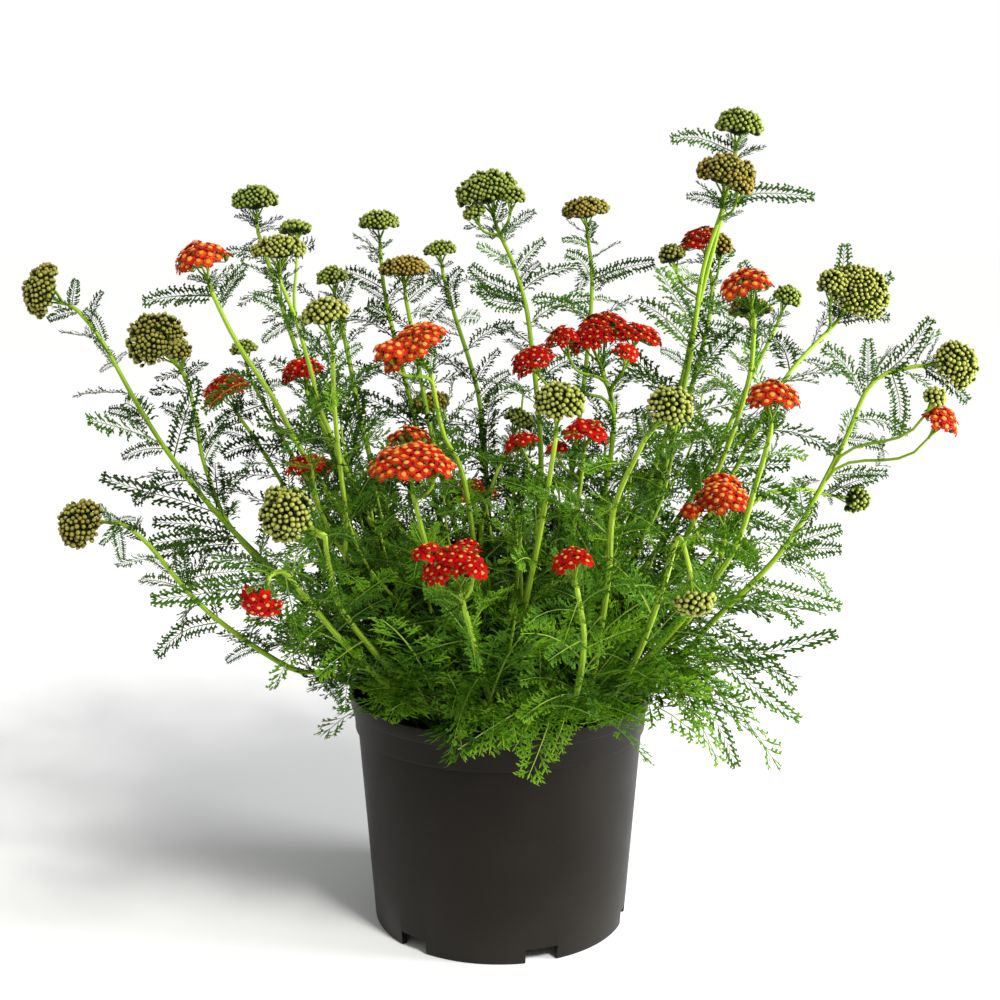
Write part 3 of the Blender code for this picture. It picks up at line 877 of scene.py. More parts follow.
# %% [markdown]
# ## Where each stem runs
#
# The routes are those of the measured model, so that a stalk stays where its solid is. A route starts
# just over the soil, passes the pixels of its shoot, and ends along the axis of its head, a few
# millimetres under it.

# %% Stem routes
POT_HEIGHT = 132 * MM
SOIL_TOP = 118 * MM
GAP = 0.3 * MM
UPRIGHT_FOOT = 5 * MM
NECK_LENGTH = 3 * MM
STRAIGHT_NECK = 5 * MM
STEM_FOOT_RADIUS = 1.8 * MM
STEM_TIP_RADIUS = 1.05 * MM
ROUTE_STEP = 8 * MM
LATE_LEAN = 1.15


def head_place(shoot):
    """The head's middle, radius, thickness and axis."""
    middle = seen_at(shoot.head, shoot.depth * MM)
    size = pixel_size(middle)
    below = seen_at(shoot.via[0], shoot.depth * MM)
    return middle, shoot.across * size / 2, shoot.deep * size, unit(middle - below)


def stem_route(shoot):
    """The stem's points, from the soil up to just under its head.

    Between the foot and the head its depth changes with the share climbed, a little late.
    """
    middle, _, thickness, axis = head_place(shoot)
    foot = np.array((shoot.foot[0] * MM, shoot.foot[1] * MM, SOIL_TOP + GAP))
    knots = [foot + UP * UPRIGHT_FOOT]
    pixels = list(reversed(shoot.via))[:-1]
    for rank, pixel in enumerate(pixels, 1):
        share = (rank / (len(pixels) + 1)) ** LATE_LEAN
        knots.append(seen_at(pixel, foot[1] + (shoot.depth * MM - foot[1]) * share))
    tip = middle - axis * (thickness / 2 + NECK_LENGTH + GAP)
    knots.append(tip - axis * STRAIGHT_NECK)
    return np.concatenate([[foot], smooth_route(knots, ROUTE_STEP), [tip]])


ROUTES = {shoot.name: stem_route(shoot) for shoot in SHOOTS + LIGHT_SHOOTS}
print("stems:", len(ROUTES), "with", sum(len(route) for route in ROUTES.values()), "rings")

# %% [markdown]
# ## A head of flowers is a small tree
#
# Under every head the stem splits into a few branches, each branch into thin stalks called pedicels,
# and each pedicel ends in one bud or floret. The buds of one branch crowd together, so the dome has
# shallow valleys between its branches. Directions are spread over the dome with the golden angle,
# which leaves no rows.

# %% Spreading directions over a dome
CURVE_PULL = 0.45


def dome_directions(count, widest):
    """Even directions from straight up down to the widest angle."""
    rank = np.arange(count) + 0.5
    height = 1 - (1 - math.cos(widest)) * rank / count
    turn = rank * GOLDEN_TURN + rng.uniform(0, TAU)
    level = np.sqrt(1 - height ** 2)
    return np.stack([level * np.cos(turn), level * np.sin(turn), height], axis=1)


def into_head(directions, axis):
    """Directions of the head's own space, turned so that up is its axis."""
    side, over = across_from(axis)
    return directions[:, :1] * side + directions[:, 1:2] * over + directions[:, 2:] * axis


def nearest_lumps(ways, lumps, valley_width):
    """Each direction's lump, and how deep in a valley between lumps it lies, from 0 to 1."""
    nearness = ways @ lumps.T
    ranked = np.sort(nearness, axis=1)
    valley = 1 - np.clip((ranked[:, -1] - ranked[:, -2]) / valley_width, 0, 1)
    return np.argmax(nearness, axis=1), valley


def curve_between(start, start_way, end, end_way, points=5):
    """A smooth course that leaves and arrives along these ways."""
    pull = np.linalg.norm(end - start) * CURVE_PULL
    a, b = start + unit(start_way) * pull, end - unit(end_way) * pull
    t = np.linspace(0, 1, points)[:, None]
    return start * (1 - t) ** 3 + a * 3 * t * (1 - t) ** 2 + b * 3 * t ** 2 * (1 - t) + end * t ** 3


print("directions on a dome:", len(dome_directions(120, 2.0)))

# %% Branches and pedicels under a head
BRANCH_RADIUS = 0.75 * MM
PEDICEL_RADIUS = 0.32 * MM
# A tube of three sides, open at both ends, as one end is in the branch and one in the bud.
PEDICEL = Part(
    np.array([(math.cos(TAU * j / 3), math.sin(TAU * j / 3), z) for z in (0, 1) for j in range(3)]),
    np.array([(j, (j + 1) % 3, 3 + (j + 1) % 3) for j in range(3)]
             + [(j, 3 + (j + 1) % 3, 3 + j) for j in range(3)]),
    np.array([(u, 0.0) for z in (0, 1) for u in (0.0, 0.5, 1.0)]),
)


def add_pedicels(heap, starts, ends, tones):
    """Thin straight stalks, each from its start to its end."""
    ways = ends - starts
    lengths = np.linalg.norm(ways, axis=1)
    ways = unit(ways)
    side, over = across_from(ways)
    thin = PEDICEL.points[None, :, :2] * PEDICEL_RADIUS
    points = starts[:, None] + thin[..., :1] * side[:, None] + thin[..., 1:] * over[:, None]
    points = points + PEDICEL.points[None, :, 2:] * (ways * lengths[:, None])[:, None]
    faces = PEDICEL.faces[None] + (np.arange(len(starts)) * len(PEDICEL.points))[:, None, None]
    marks = np.repeat(PEDICEL.marks[None], len(starts), axis=0)
    marks[..., 1] = held(np.asarray(tones)[:, None] + (0.0, 0.02, -0.02) * 2)
    heap.add(points, faces, marks)


def add_branches(heap, tip, axis, nodes, feet, owners):
    """Branches from the stem's tip to each node, and pedicels from its node to each foot."""
    for spot in nodes:
        course = curve_between(tip, axis, spot, unit(spot - tip) * 0.5 + axis)
        radii = np.linspace(1.0, 0.6, len(course)) * BRANCH_RADIUS
        add_tube(heap, course, radii, TWIG_TUBE, (0.55, 0.6))
    add_pedicels(heap, nodes[owners], feet, rng.uniform(0.45, 0.7, len(feet)))


print("pedicel:", len(PEDICEL.faces), "triangles")

# %% The dark body in the middle of a head, painted as shade
SHADE_CORE_RINGS = ((-0.55, 0.66), (0.0, 0.94), (0.55, 0.72))
SHADE_CORE = turned_part(SHADE_CORE_RINGS, 9, -0.80, 0.88, (0.0, 0.30), 0.08)
SHADE_CORE_SHARE = 0.66


def add_shade_core(heap, middle, shape, axis):
    """A dark body in the middle of a head, painted as the shade where bracts and pedicels crowd and no
    light comes through.
    """
    points = middle + into_head(SHADE_CORE.points * shape * SHADE_CORE_SHARE, axis)
    marks = np.clip(SHADE_CORE.marks + (0, 0.10), 0.0, 0.99)
    heap.add(points[None], SHADE_CORE.faces[None], marks[None])


print("core:", len(SHADE_CORE.faces), "triangles")

# %% A head of closed buds
BUD_SPACING = 3.25 * MM
BUD_DOME = math.radians(106)
BUD_LUMP = 5.2 * MM
BUD_LUMP_DOME = math.radians(98)
BUD_CROWDING = 1.12
LEAST_BUDS = 14
LEAST_LUMPS = 4
VALLEY = 0.17
VALLEY_WIDTH = 0.16
LUMP_LEAN = 0.35
UPWARD_LEAN = 0.25
LUMP_TONE_SHARE = 0.6


def add_bud_head(buds, stalks, tip, middle, radius, thickness, axis, tint):
    """Buds over an oblate dome, in lumps, with a dark body behind them as painted shade, and what carries
    them.

    The flatter the dome, the less skin it has, and so the fewer buds.
    """
    squash = thickness / (2 * radius)
    area = TAU * radius ** 2 * (1 - math.cos(BUD_DOME)) * (0.45 + 0.55 * squash)
    count = max(LEAST_BUDS, round(area / BUD_SPACING ** 2 * BUD_CROWDING))
    ways = dome_directions(count, BUD_DOME)
    lumps = dome_directions(max(LEAST_LUMPS, round((radius / BUD_LUMP) ** 1.5)), BUD_LUMP_DOME)
    lumps = unit(lumps + rng.normal(0, 0.10, lumps.shape))
    owners, valley = nearest_lumps(ways, lumps, VALLEY_WIDTH)
    shape = np.array((radius, radius, thickness / 2))
    level = (1 - VALLEY * valley) * rng.uniform(0.89, 1.05, count)
    tops = ways * level[:, None] * shape
    out = unit(unit(ways / shape) + LUMP_LEAN * unit(lumps[owners]) + (0, 0, UPWARD_LEAN))
    out = unit(out + rng.normal(0, 0.15, out.shape))
    sizes = BUD_LENGTH * rng.uniform(0.78, 1.12, count)
    feet = middle + into_head(tops - out * sizes[:, None], axis)
    low, high = BUD_TONES[tint]
    lump_tone = rng.uniform(low, high, len(lumps))
    tones = LUMP_TONE_SHARE * lump_tone[owners] + (1 - LUMP_TONE_SHARE) * rng.uniform(low, high, count)
    lay_parts(buds, BUD, feet, into_head(out, axis), sizes, tones)
    add_shade_core(buds, middle, shape, axis)
    nodes = middle + into_head(lumps * shape * 0.38 - (0, 0, thickness * 0.12), axis)
    add_branches(stalks, tip, axis, nodes, feet, owners)


trial = Heap()
add_bud_head(trial, Heap(), np.zeros(3), UP * 0.02, 0.015, 0.024, UP, "green")
print("a bud head 30 mm across holds", trial.count // len(BUD.points), "buds")

# %% A head of open florets
FLORET_SPACING = 4.9 * MM
FLORET_DOME = math.radians(84)
FLORET_LUMP = 5.6 * MM
FLORET_LUMP_DOME = math.radians(72)
FLORET_CROWDING = 1.10
LEAST_FLORETS = 9
FLORET_VALLEY = 0.08
FLORET_VALLEY_WIDTH = 0.14
FLORET_STALK = 0.58


def add_floret_head(florets, stalks, tip, middle, radius, thickness, axis, tint):
    """Florets over a flatter dome whose foot is under the middle."""
    reach = radius - 0.25 * FLORET_ACROSS
    height = min(0.80 * thickness, 0.92 * reach)
    foot = 0.44 * thickness - height
    area = TAU * reach ** 2 * (0.5 + 0.5 * min(height / reach, 1.0))
    count = max(LEAST_FLORETS, round(area / FLORET_SPACING ** 2 * FLORET_CROWDING))
    ways = dome_directions(count, FLORET_DOME)
    lumps = unit(dome_directions(max(LEAST_LUMPS, round((radius / FLORET_LUMP) ** 1.4)), FLORET_LUMP_DOME))
    owners, valley = nearest_lumps(ways, lumps, FLORET_VALLEY_WIDTH)
    shape = np.array((reach, reach, height))
    level = (1 - FLORET_VALLEY * valley) * rng.uniform(0.90, 1.05, count)
    tops = ways * level[:, None] * shape + (0, 0, foot)
    out = unit(unit(ways / shape) * 0.75 + (0, 0, 0.55) + rng.normal(0, 0.18, ways.shape))
    sizes = FLORET_ACROSS * rng.uniform(0.88, 1.12, count)
    low, high = FLORET_TONES[tint]
    tones = rng.uniform(low, high, count)
    places = middle + into_head(tops, axis)
    facing = into_head(out, axis)
    lay_parts(florets, OPENING_FLORET if tint == "orange" else FLORET, places, facing, sizes, tones)
    nodes = middle + into_head(lumps * shape * 0.35 + (0, 0, foot - 0.1 * thickness), axis)
    add_branches(stalks, tip, axis, nodes, places - facing * sizes[:, None] * FLORET_STALK, owners)


trial = Heap()
add_floret_head(trial, Heap(), np.zeros(3), UP * 0.02, 0.015, 0.014, UP, "red")
print("a floret head 30 mm across holds", trial.count // len(FLORET.points), "florets")

# %% [markdown]
# ## The leaves of one stem
#
# Leaves leave a stem one by one, each a golden angle further round it. They are about two centimetres
# long under the head and longer down the stem. Each one makes an angle of about fifty degrees with
# the stem and then arches down. Four kinds are left out: those that would run through the pot or the
# soil, nearly all that would lie just over the rim, those that would hang down outside it where the
# front view shows it bare, and those that would cross in front of a head that is seen whole.

# %% Where a leaf may run
WALL_OUTSIDE = 85 * MM
WALL_INSIDE = 76 * MM
RIM_KEPT_CLEAR = 112 * MM
OVER_RIM = 3 * MM
OVER_SOIL = 1.5 * MM
SPARED = 0.03
MOST_HANG = 3 * MM
RIGHT_OF_POT = 80 * MM
LEFT_OF_POT = 84 * MM
LEFT_RISE = 0.30
SEEN_HEADS = [head for head in SHOOTS + LIGHT_SHOOTS + SIDE_HEADS if not head.name.startswith("rear")]
HEAD_MARGIN = 3
MOST_OVER_HEAD = 1


def hides_head(points):
    """For each course, whether it would cross in front of a head that the front view shows."""
    pixels = pixel_of(points.reshape(-1, 3)).reshape(*points.shape[:-1], 2)
    hides = np.zeros(len(points), bool)
    for head in SEEN_HEADS:
        reach = (head.across * 0.5 + HEAD_MARGIN, head.deep * 0.5 + HEAD_MARGIN)
        away = (pixels - head.head) / reach
        over = ((away ** 2).sum(-1) < 1) & (points[..., 1] < head.depth * MM)
        hides |= over.sum(axis=1) > MOST_OVER_HEAD
    return hides


def is_welcome(points):
    """For each course, whether it stays out of the soil, the wall, the bare rim and the heads.

    A leaf may hang lower at the right of the pot and behind it than at the front and the left.
    """
    out = np.linalg.norm(points[..., :2], axis=-1)
    low = points[..., 2] < POT_HEIGHT + OVER_RIM
    in_wall = low & (out > WALL_INSIDE) & (out < WALL_OUTSIDE)
    in_soil = (points[..., 2] < SOIL_TOP + OVER_SOIL) & (out < WALL_OUTSIDE)
    hides_rim = low & (out > WALL_INSIDE) & (out < RIM_KEPT_CLEAR)
    lowest = POT_HEIGHT - MOST_HANG + LEFT_RISE * np.maximum(0, -points[..., 0] - LEFT_OF_POT)
    hangs = (points[..., 2] < lowest) & (out > WALL_INSIDE) & (points[..., 0] < RIGHT_OF_POT)
    hangs &= points[..., 1] < WALL_INSIDE
    spared = rng.uniform(0, 1, len(points)) < SPARED
    kept = ~(in_wall | in_soil | hangs).any(axis=1) & ~hides_head(points)
    return kept & (spared | ~hides_rim.any(axis=1))


print("heads kept clear of leaves:", len(SEEN_HEADS))

# %% Leaves along a stem
BELOW_HEAD = (0, 20, 45, 80, 130, 200, 320)
LEAF_LENGTHS = tuple(length * MM for length in (18, 26, 34, 41, 48, 55, 60))
LEAF_SPACINGS = tuple(space * MM for space in (8, 10, 11, 12, 13, 15, 17))
STEM_END_CLEAR = 18 * MM
LEAF_STANDS_OFF = 0.6 * MM
SMALL_UNDER = 25 * MM
WIDEST = 41 * MM


def angles_between(low, high, count):
    """Random angles between these two, given in degrees."""
    return np.radians(rng.uniform(low, high, count))


def heading_and_slope(way):
    """The heading of each way over the ground, from +X, and its slope."""
    return np.arctan2(way[:, 1], way[:, 0]), np.arcsin(np.clip(way[:, 2], -1, 1))


def ways_round(axis, count, least_lean, most_lean):
    """Ways out from an axis, a golden angle apart, and the same ways leaned back towards it."""
    side, over = across_from(axis)
    turn = (np.arange(count) * GOLDEN_TURN + rng.uniform(0, TAU))[:, None]
    out = side * np.cos(turn) + over * np.sin(turn)
    lean = angles_between(least_lean, most_lean, count)[:, None]
    return out, axis * np.cos(lean) + out * np.sin(lean)


def leafing(route, first=6 * MM, size=1.0):
    """Courses for the leaves of a stem: points, ups, lengths and how each tone differs."""
    walked = walked_along(route)
    below, nodes = first, []
    while below < walked[-1] - STEM_END_CLEAR:
        nodes.append(below)
        below += np.interp(below / MM, BELOW_HEAD, LEAF_SPACINGS) * rng.uniform(0.8, 1.2)
    nodes = np.array(nodes)
    count, marks = len(nodes), walked[-1] - nodes
    feet = read_at(marks, walked, route)
    ahead = unit(read_at(marks, walked, heading_along(route)))
    out, way = ways_round(ahead, count, 40, 62)
    lengths = np.interp(nodes / MM, BELOW_HEAD, LEAF_LENGTHS) * rng.uniform(0.78, 1.2, count) * size
    droops, swings = angles_between(5, 60, count), angles_between(-22, 22, count)
    rolls = angles_between(-75, 75, count)
    feet = feet + out * LEAF_STANDS_OFF
    points, ups = arching(feet, *heading_and_slope(way), droops, swings, rolls, lengths)
    tones = 0.50 * rng.uniform(0, 1, count) ** 1.6 - 0.22
    good = is_welcome(points)
    return points[good], ups[good], lengths[good], tones[good]


def lay_by_size(heap, points, ups, lengths, tones):
    """Lays each leaf as the kind that suits its length; the longest are no wider than the others."""
    kinds = np.where(lengths < SMALL_UNDER, "small", "stem")
    widths = np.minimum(lengths, WIDEST) * rng.uniform(0.8, 1.08, len(lengths))
    for kind in ("small", "stem"):
        its = kinds == kind
        if its.any():
            lay_leaves(heap, kind, points[its], ups[its], lengths[its], tones[its], widths[its])


found = [len(leafing(route)[0]) for route in ROUTES.values()]
print("leaves on", len(found), "stems:", sum(found))

# %% [markdown]
# ## Tufts under the heads
#
# A few small leaves stand around the fork under each head. They hide where the branches start, and
# they stand out as dark little combs under the pale buds.

# %% Small leaves round the fork
SHORTEST_TUFT = 7 * MM
LONGEST_TUFT = 19 * MM


def add_tuft(heap, tip, axis, radius, tone):
    """Three to five small leaves round the axis, about as long as the head's radius."""
    count = rng.integers(3, 6)
    _, way = ways_round(axis, count, 38, 75)
    feet = tip - axis * rng.uniform(0, 5, count)[:, None] * MM
    lengths = np.clip(radius * rng.uniform(0.75, 1.25, count), SHORTEST_TUFT, LONGEST_TUFT)
    droops, swings = angles_between(-20, 35, count), angles_between(-20, 20, count)
    rolls = angles_between(-40, 40, count)
    points, ups = arching(feet, *heading_and_slope(way), droops, swings, rolls, lengths)
    lay_leaves(heap, "small", points, ups, lengths, tone + rng.uniform(-0.15, 0.15, count))


print("tufts ready")

# %% [markdown]
# ## The shoots of the measured model
#
# Now each shoot can be put together: a stalk with its branches and pedicels, a head of buds or
# florets, and leaves. The stalk stands for the measured stem and the head for the measured head. Most
# heads face the way their stem ends. FACING holds those that nod or turn to another side.

# %% Tones, and the way each head faces
STALK_TONES = {"green": 0.62, "pale": 0.70, "olive": 0.55, "tinted": 0.60, "red": 0.55, "orange": 0.62,
               "crimson": 0.40}
FACING = {
    "left_hanging": (-0.15, -0.66, -0.74), "right_drooping": (0.05, -0.55, -0.83),
    "left_front": (-0.40, -0.72, 0.56), "low_left": (-0.58, -0.64, 0.50),
    "far_left": (-0.88, -0.36, 0.30), "far_right": (0.55, -0.66, 0.52), "left_high": (-0.35, -0.50, 0.80),
    "right_large": (0.30, -0.55, 0.78), "right_pale": (0.15, -0.50, 0.85), "front_pale": (0.0, -0.40, 0.92),
}
FAR_OUT = 110 * MM
SIDE_TUFT = 9 * MM
SIDES_OF = {}
for side_head in SIDE_HEADS:
    SIDES_OF.setdefault(side_head.parent, []).append(side_head)


def leaf_tone(places):
    """Leaves at the front and to the right are painted paler and those at the back darker, as painted light
    and shade from the sun's side; those far out to either side are darker too.
    """
    across, back = places[..., 0], places[..., 1]
    far_out = np.maximum(0.0, np.abs(across) - FAR_OUT)
    return 0.34 + 0.7 * across - 1.2 * back - 1.8 * far_out


print("leaf tone over the middle of the pot: %.2f" % leaf_tone(np.zeros(3)))

# %% How one shoot is put together
def add_head(heaps, tip, middle, radius, thickness, axis, tint):
    """A head of buds or of florets, by its tint."""
    if tint in BUD_TONES:
        add_bud_head(heaps["buds"], heaps["stalk"], tip, middle, radius, thickness, axis, tint)
    else:
        add_floret_head(heaps["florets"], heaps["stalk"], tip, middle, radius, thickness, axis, tint)


def grow_side(side, route, axis, tone, heaps):
    """Adds a side head, with its branch from the stem and the tuft on that branch."""
    last = len(route) - 1
    fork = round(side.fork * last)
    start = route[fork]
    way = route[fork + 1] - start if fork < last else axis
    middle = seen_at(side.head, side.depth * MM)
    size = pixel_size(middle)
    thickness = side.deep * size
    side_axis = unit(unit(middle - start) + UP * 0.9)
    tip = middle - side_axis * (thickness / 2 + NECK_LENGTH)
    course = curve_between(start, way, tip, side_axis, 8)
    radii = np.linspace(1.0, 0.75, len(course)) * MM
    add_tube(heaps["stalk"], course, radii, BRANCH_TUBE, (tone, tone + 0.1))
    add_head(heaps, tip, middle, side.across * size / 2, thickness, side_axis, side.tint)
    add_tuft(heaps["leaves"], course[len(course) // 2], side_axis, SIDE_TUFT, leaf_tone(tip))


def grow_shoot(shoot, heaps):
    """Adds a shoot's stalk, head, leaves and side heads to the heaps."""
    route = ROUTES[shoot.name]
    middle, radius, thickness, axis = head_place(shoot)
    # Stalks at the back are painted darker and those at the front paler: painted shade and light.
    tone = STALK_TONES[shoot.tint] - 0.9 * middle[1]
    radii = np.linspace(STEM_FOOT_RADIUS, STEM_TIP_RADIUS, len(route)) * rng.uniform(0.9, 1.05)
    # Each stalk is painted darker at its foot, partly with age and partly as painted shade.
    add_tube(heaps["stalk"], route, radii, STEM_TUBE, (tone - 0.25, tone + 0.2))
    facing = unit(FACING.get(shoot.name, axis))
    add_head(heaps, route[-1], middle, radius, thickness, facing, shoot.tint)
    points, ups, lengths, tones = leafing(route)
    lay_by_size(heaps["leaves"], points, ups, lengths, tones + leaf_tone(points[:, MIDWAY]))
    add_tuft(heaps["leaves"], route[-1], axis, radius, leaf_tone(route[-1]))
    for side in SIDES_OF.get(shoot.name, ()):
        grow_side(side, route, axis, tone, heaps)


print("shoots with side heads:", len(SIDES_OF))

# %% Each shoot in turn
def make_pieces(name, heaps, replaced):
    """Makes a shoot's heaps into pieces, which stand for its measured solids."""
    stem_node, head_node = replaced
    heaps["stalk"].piece(name + "_stalk", STEM, "stem_green", stem_node)
    flowers = [kind for kind in ("buds", "florets") if heaps[kind].count]
    for kind in flowers:
        looks, slot = (BUDS, "bud_green") if kind == "buds" else (FLORETS, "flower_red")
        heaps[kind].piece(name + "_" + kind, looks, slot, head_node if kind == flowers[0] else ())
    heaps["leaves"].piece(name + "_leaves", LEAF, "leaf_green", smooth=False)


def empty_heaps():
    """A new heap for each kind of piece that a shoot has."""
    return {kind: Heap() for kind in ("stalk", "buds", "florets", "leaves")}


for shoot in SHOOTS:
    heaps = empty_heaps()
    grow_shoot(shoot, heaps)
    make_pieces(shoot.name, heaps, ((shoot.name + "_stem",), (shoot.name + "_head",)))
print("triangles so far:", sum(triangles.values()))

# %% The lighter shoots, in two groups
BACK_DEPTH = 70
GROUPS = {"back_shoots": [], "inner_shoots": []}
for shoot in LIGHT_SHOOTS:
    GROUPS["back_shoots" if shoot.depth > BACK_DEPTH else "inner_shoots"].append(shoot)
for name, members in GROUPS.items():
    heaps = empty_heaps()
    for shoot in members:
        grow_shoot(shoot, heaps)
    make_pieces(name, heaps, ((), ()))
print("triangles so far:", sum(triangles.values()))

# %% [markdown]
# ## The long leaves that lean over the rim
#
# The crown sends out its longest leaves at the bottom of the plant. They climb over the rim and arch
# outward. Eight of them are in the measured model. Five are laid along the same courses here, and the
# first three are drawn shorter, as the front view has the rim bare under them. `bearing` is a leaf's
# direction in degrees, from +X round towards the back. `root` is how far from the pot's axis it
# starts, and `along` holds its reach and height at a few places, in millimetres.
#
# Each leaf has two smaller neighbours. A row of NEIGHBOURS is a turn in degrees, a share of the reach
# outside the rim, and a rise in millimetres from each knot to the next. The first is the leaf itself.

# %% The eight leaves of the measured model
Leaf = namedtuple("Leaf", "name bearing root along")
LEAVES = (
    Leaf("left_leaf", 168, 60, ((72, 20), (92, 31), (118, 37))),
    Leaf("front_left_leaf", 211, 64, ((72, 22), (90, 31), (108, 25))),
    Leaf("front_leaf", 268, 62, ((71, 24), (88, 31), (101, 18))),
    Leaf("front_right_leaf", 339, 66, ((74, 22), (100, 34), (130, 20), (158, -14))),
    Leaf("right_leaf", 13, 62, ((76, 28), (106, 48), (146, 54), (190, 44))),
    Leaf("back_right_leaf", 48, 60, ((72, 26), (100, 46), (140, 48), (178, 24))),
    Leaf("back_leaf", 88, 60, ((72, 28), (98, 48), (140, 52), (189, 28))),
    Leaf("back_left_leaf", 140, 60, ((72, 26), (100, 44), (136, 42), (172, 12))),
)
RIM_REACH = 80
SIDE_ROOT = 0.9
FINE_STEP = 1 * MM
LONG_LEAF_TONE_AT = 10
NEIGHBOURS = ((0.0, 1.0, 0.0), (-13, 0.72, 2.5), (12, 0.62, 4.0))
NEIGHBOUR_TONES = (0.05, 0.12, 0.0)


def course_through(knots, up=UP):
    """A leaf's course through a few knots, with its upper side, and its length."""
    fine = smooth_route(knots, FINE_STEP)
    walked = walked_along(fine)
    points = read_at(np.linspace(0, walked[-1], COURSE + 1), walked, fine)
    return points, np.repeat(np.asarray(up, float)[None], COURSE + 1, axis=0), walked[-1]


def leaf_knots(leaf, turn, scale, rise):
    """The knots of a crown leaf, or of a neighbour of it."""
    bearing = math.radians(leaf.bearing + turn)
    out = np.array((math.cos(bearing), math.sin(bearing), 0))
    rows, knots = [(leaf.root * (SIDE_ROOT if turn else 1.0), 0.0), *leaf.along], []
    for rank, (reach, height) in enumerate(rows):
        if reach >= RIM_REACH:
            reach = RIM_REACH + (reach - RIM_REACH) * scale
        knots.append(out * reach * MM + UP * (SOIL_TOP + GAP + (height + rise * rank) * MM))
    return knots


for leaf in LEAVES:
    heap = Heap()
    rows = [course_through(leaf_knots(leaf, *neighbour)) for neighbour in NEIGHBOURS]
    points, ups, lengths = (np.array(column) for column in zip(*rows))
    tones = leaf_tone(points[:, LONG_LEAF_TONE_AT]) + NEIGHBOUR_TONES
    lay_leaves(heap, "long", points, ups, lengths, tones)
    heap.piece(leaf.name + "_fronds", LEAF, "leaf_green", (leaf.name,), smooth=False)
print("triangles so far:", sum(triangles.values()))

# %% The rest of the crown's leaves
CROWN_LEAVES = 120
INNER_LEAVES = 110
CROWN_TONE_AT = 12
OPEN_SHARE = 0.6
LONGEST_OPEN = 86 * MM


def crown_courses(count, roots, slopes, lengths, droops):
    """Leaves from the crown, all round, as courses that are welcome where they run.

    Roots and lengths are in millimetres, slopes and droops in degrees, each from least to most.
    """
    kept = []
    while sum(len(k[0]) for k in kept) < count:
        turn = rng.uniform(0, TAU, count)
        out = np.stack([np.cos(turn), np.sin(turn), np.zeros(count)], axis=1)
        feet = out * rng.uniform(*roots, count)[:, None] * MM + UP * (SOIL_TOP + 2 * MM)
        length = rng.uniform(*lengths, count) * MM
        headings = turn + rng.normal(0, 0.45, count)
        slope, droop = angles_between(*slopes, count), angles_between(*droops, count)
        swings, rolls = angles_between(-30, 30, count), angles_between(-35, 35, count)
        points, ups = arching(feet, headings, slope, droop, swings, rolls, length)
        good = is_welcome(points)
        kept.append((points[good], ups[good], length[good]))
    points, ups, lengths = (np.concatenate(column)[:count] for column in zip(*kept))
    return points, ups, lengths


heap = Heap()
points, ups, lengths = crown_courses(CROWN_LEAVES, (25, 66), (38, 74), (62, 118), (35, 95))
tones = leaf_tone(points[:, CROWN_TONE_AT]) - 0.2 + 0.5 * rng.uniform(0, 1, len(points)) ** 2
is_open = (rng.uniform(0, 1, len(points)) < OPEN_SHARE) & (lengths < LONGEST_OPEN)
lay_leaves(heap, "open", points[is_open], ups[is_open], lengths[is_open], tones[is_open] + 0.05)
lay_leaves(heap, "long", points[~is_open], ups[~is_open], lengths[~is_open], tones[~is_open])
heap.piece("crown_leaves", LEAF, "leaf_green", smooth=False)
heap = Heap()
points, ups, lengths = crown_courses(INNER_LEAVES, (5, 60), (60, 86), (45, 95), (5, 50))
tones = leaf_tone(points[:, CROWN_TONE_AT]) - 0.2 + 0.6 * rng.uniform(0, 1, len(points)) ** 2
lay_leaves(heap, "stem", points, ups, lengths, tones)
heap.piece("young_crown_leaves", LEAF, "leaf_green", smooth=False)
print("triangles so far:", sum(triangles.values()))

# %% [markdown]
# ## Leafy shoots that have no head yet
#
# What makes the plant dense is a second crowd of shoots that will flower later. They are thinner,
# reach half as high, and carry leaves all the way up. They fan out from the crown like the others.

# %% Leafy shoots
LEAFY_SHOOTS = 52
FRONT_HEIGHT_SHARE = 0.75


def leafy_route():
    """A thin stem that rises from the crown and leans outward, shorter at the front."""
    turn, root = rng.uniform(0, TAU), rng.uniform(6, 50)
    out = np.array((math.cos(turn), math.sin(turn), 0))
    foot = out * root * MM + UP * (SOIL_TOP + GAP)
    height = rng.uniform(70, 175) * (FRONT_HEIGHT_SHARE if out[1] < -0.5 else 1.0)
    reach = root + height * rng.uniform(0.15, 0.62)
    aside = np.cross(UP, out) * rng.uniform(-18, 18) * MM
    knots = [
        foot,
        foot + (UP * 0.35 * height + out * (reach - root) * 0.15) * MM,
        out * reach * 0.9 * MM + UP * (SOIL_TOP + 0.75 * height * MM) + aside * 0.6,
        out * reach * MM + UP * (SOIL_TOP + height * MM) + aside,
    ]
    return smooth_route(knots, ROUTE_STEP)


stalk_heap, leaf_heaps = Heap(), (Heap(), Heap())
for k in range(LEAFY_SHOOTS):
    route = leafy_route()
    # The foot of each stalk is painted darker, partly with age and partly as painted shade.
    add_tube(stalk_heap, route, np.linspace(1.3, 0.6, len(route)) * MM, BRANCH_TUBE, (0.4, 0.85))
    points, ups, lengths, tones = leafing(route, first=0.5 * MM, size=0.95)
    # These leaves are painted a little darker than the rest, as painted shade inside the crowd.
    tones = tones - 0.1 + leaf_tone(points[:, MIDWAY])
    lay_by_size(leaf_heaps[k % 2], points, ups, lengths, tones)
    tip, axis = route[-1], unit(route[-1] - route[-2])
    add_tuft(leaf_heaps[k % 2], tip, axis, 14 * MM, leaf_tone(tip) + 0.2)
stalk_heap.piece("leafy_shoot_stalks", STEM, "stem_green")
leaf_heaps[0].piece("leafy_shoot_leaves_a", LEAF, "leaf_green", smooth=False)
leaf_heaps[1].piece("leafy_shoot_leaves_b", LEAF, "leaf_green", smooth=False)
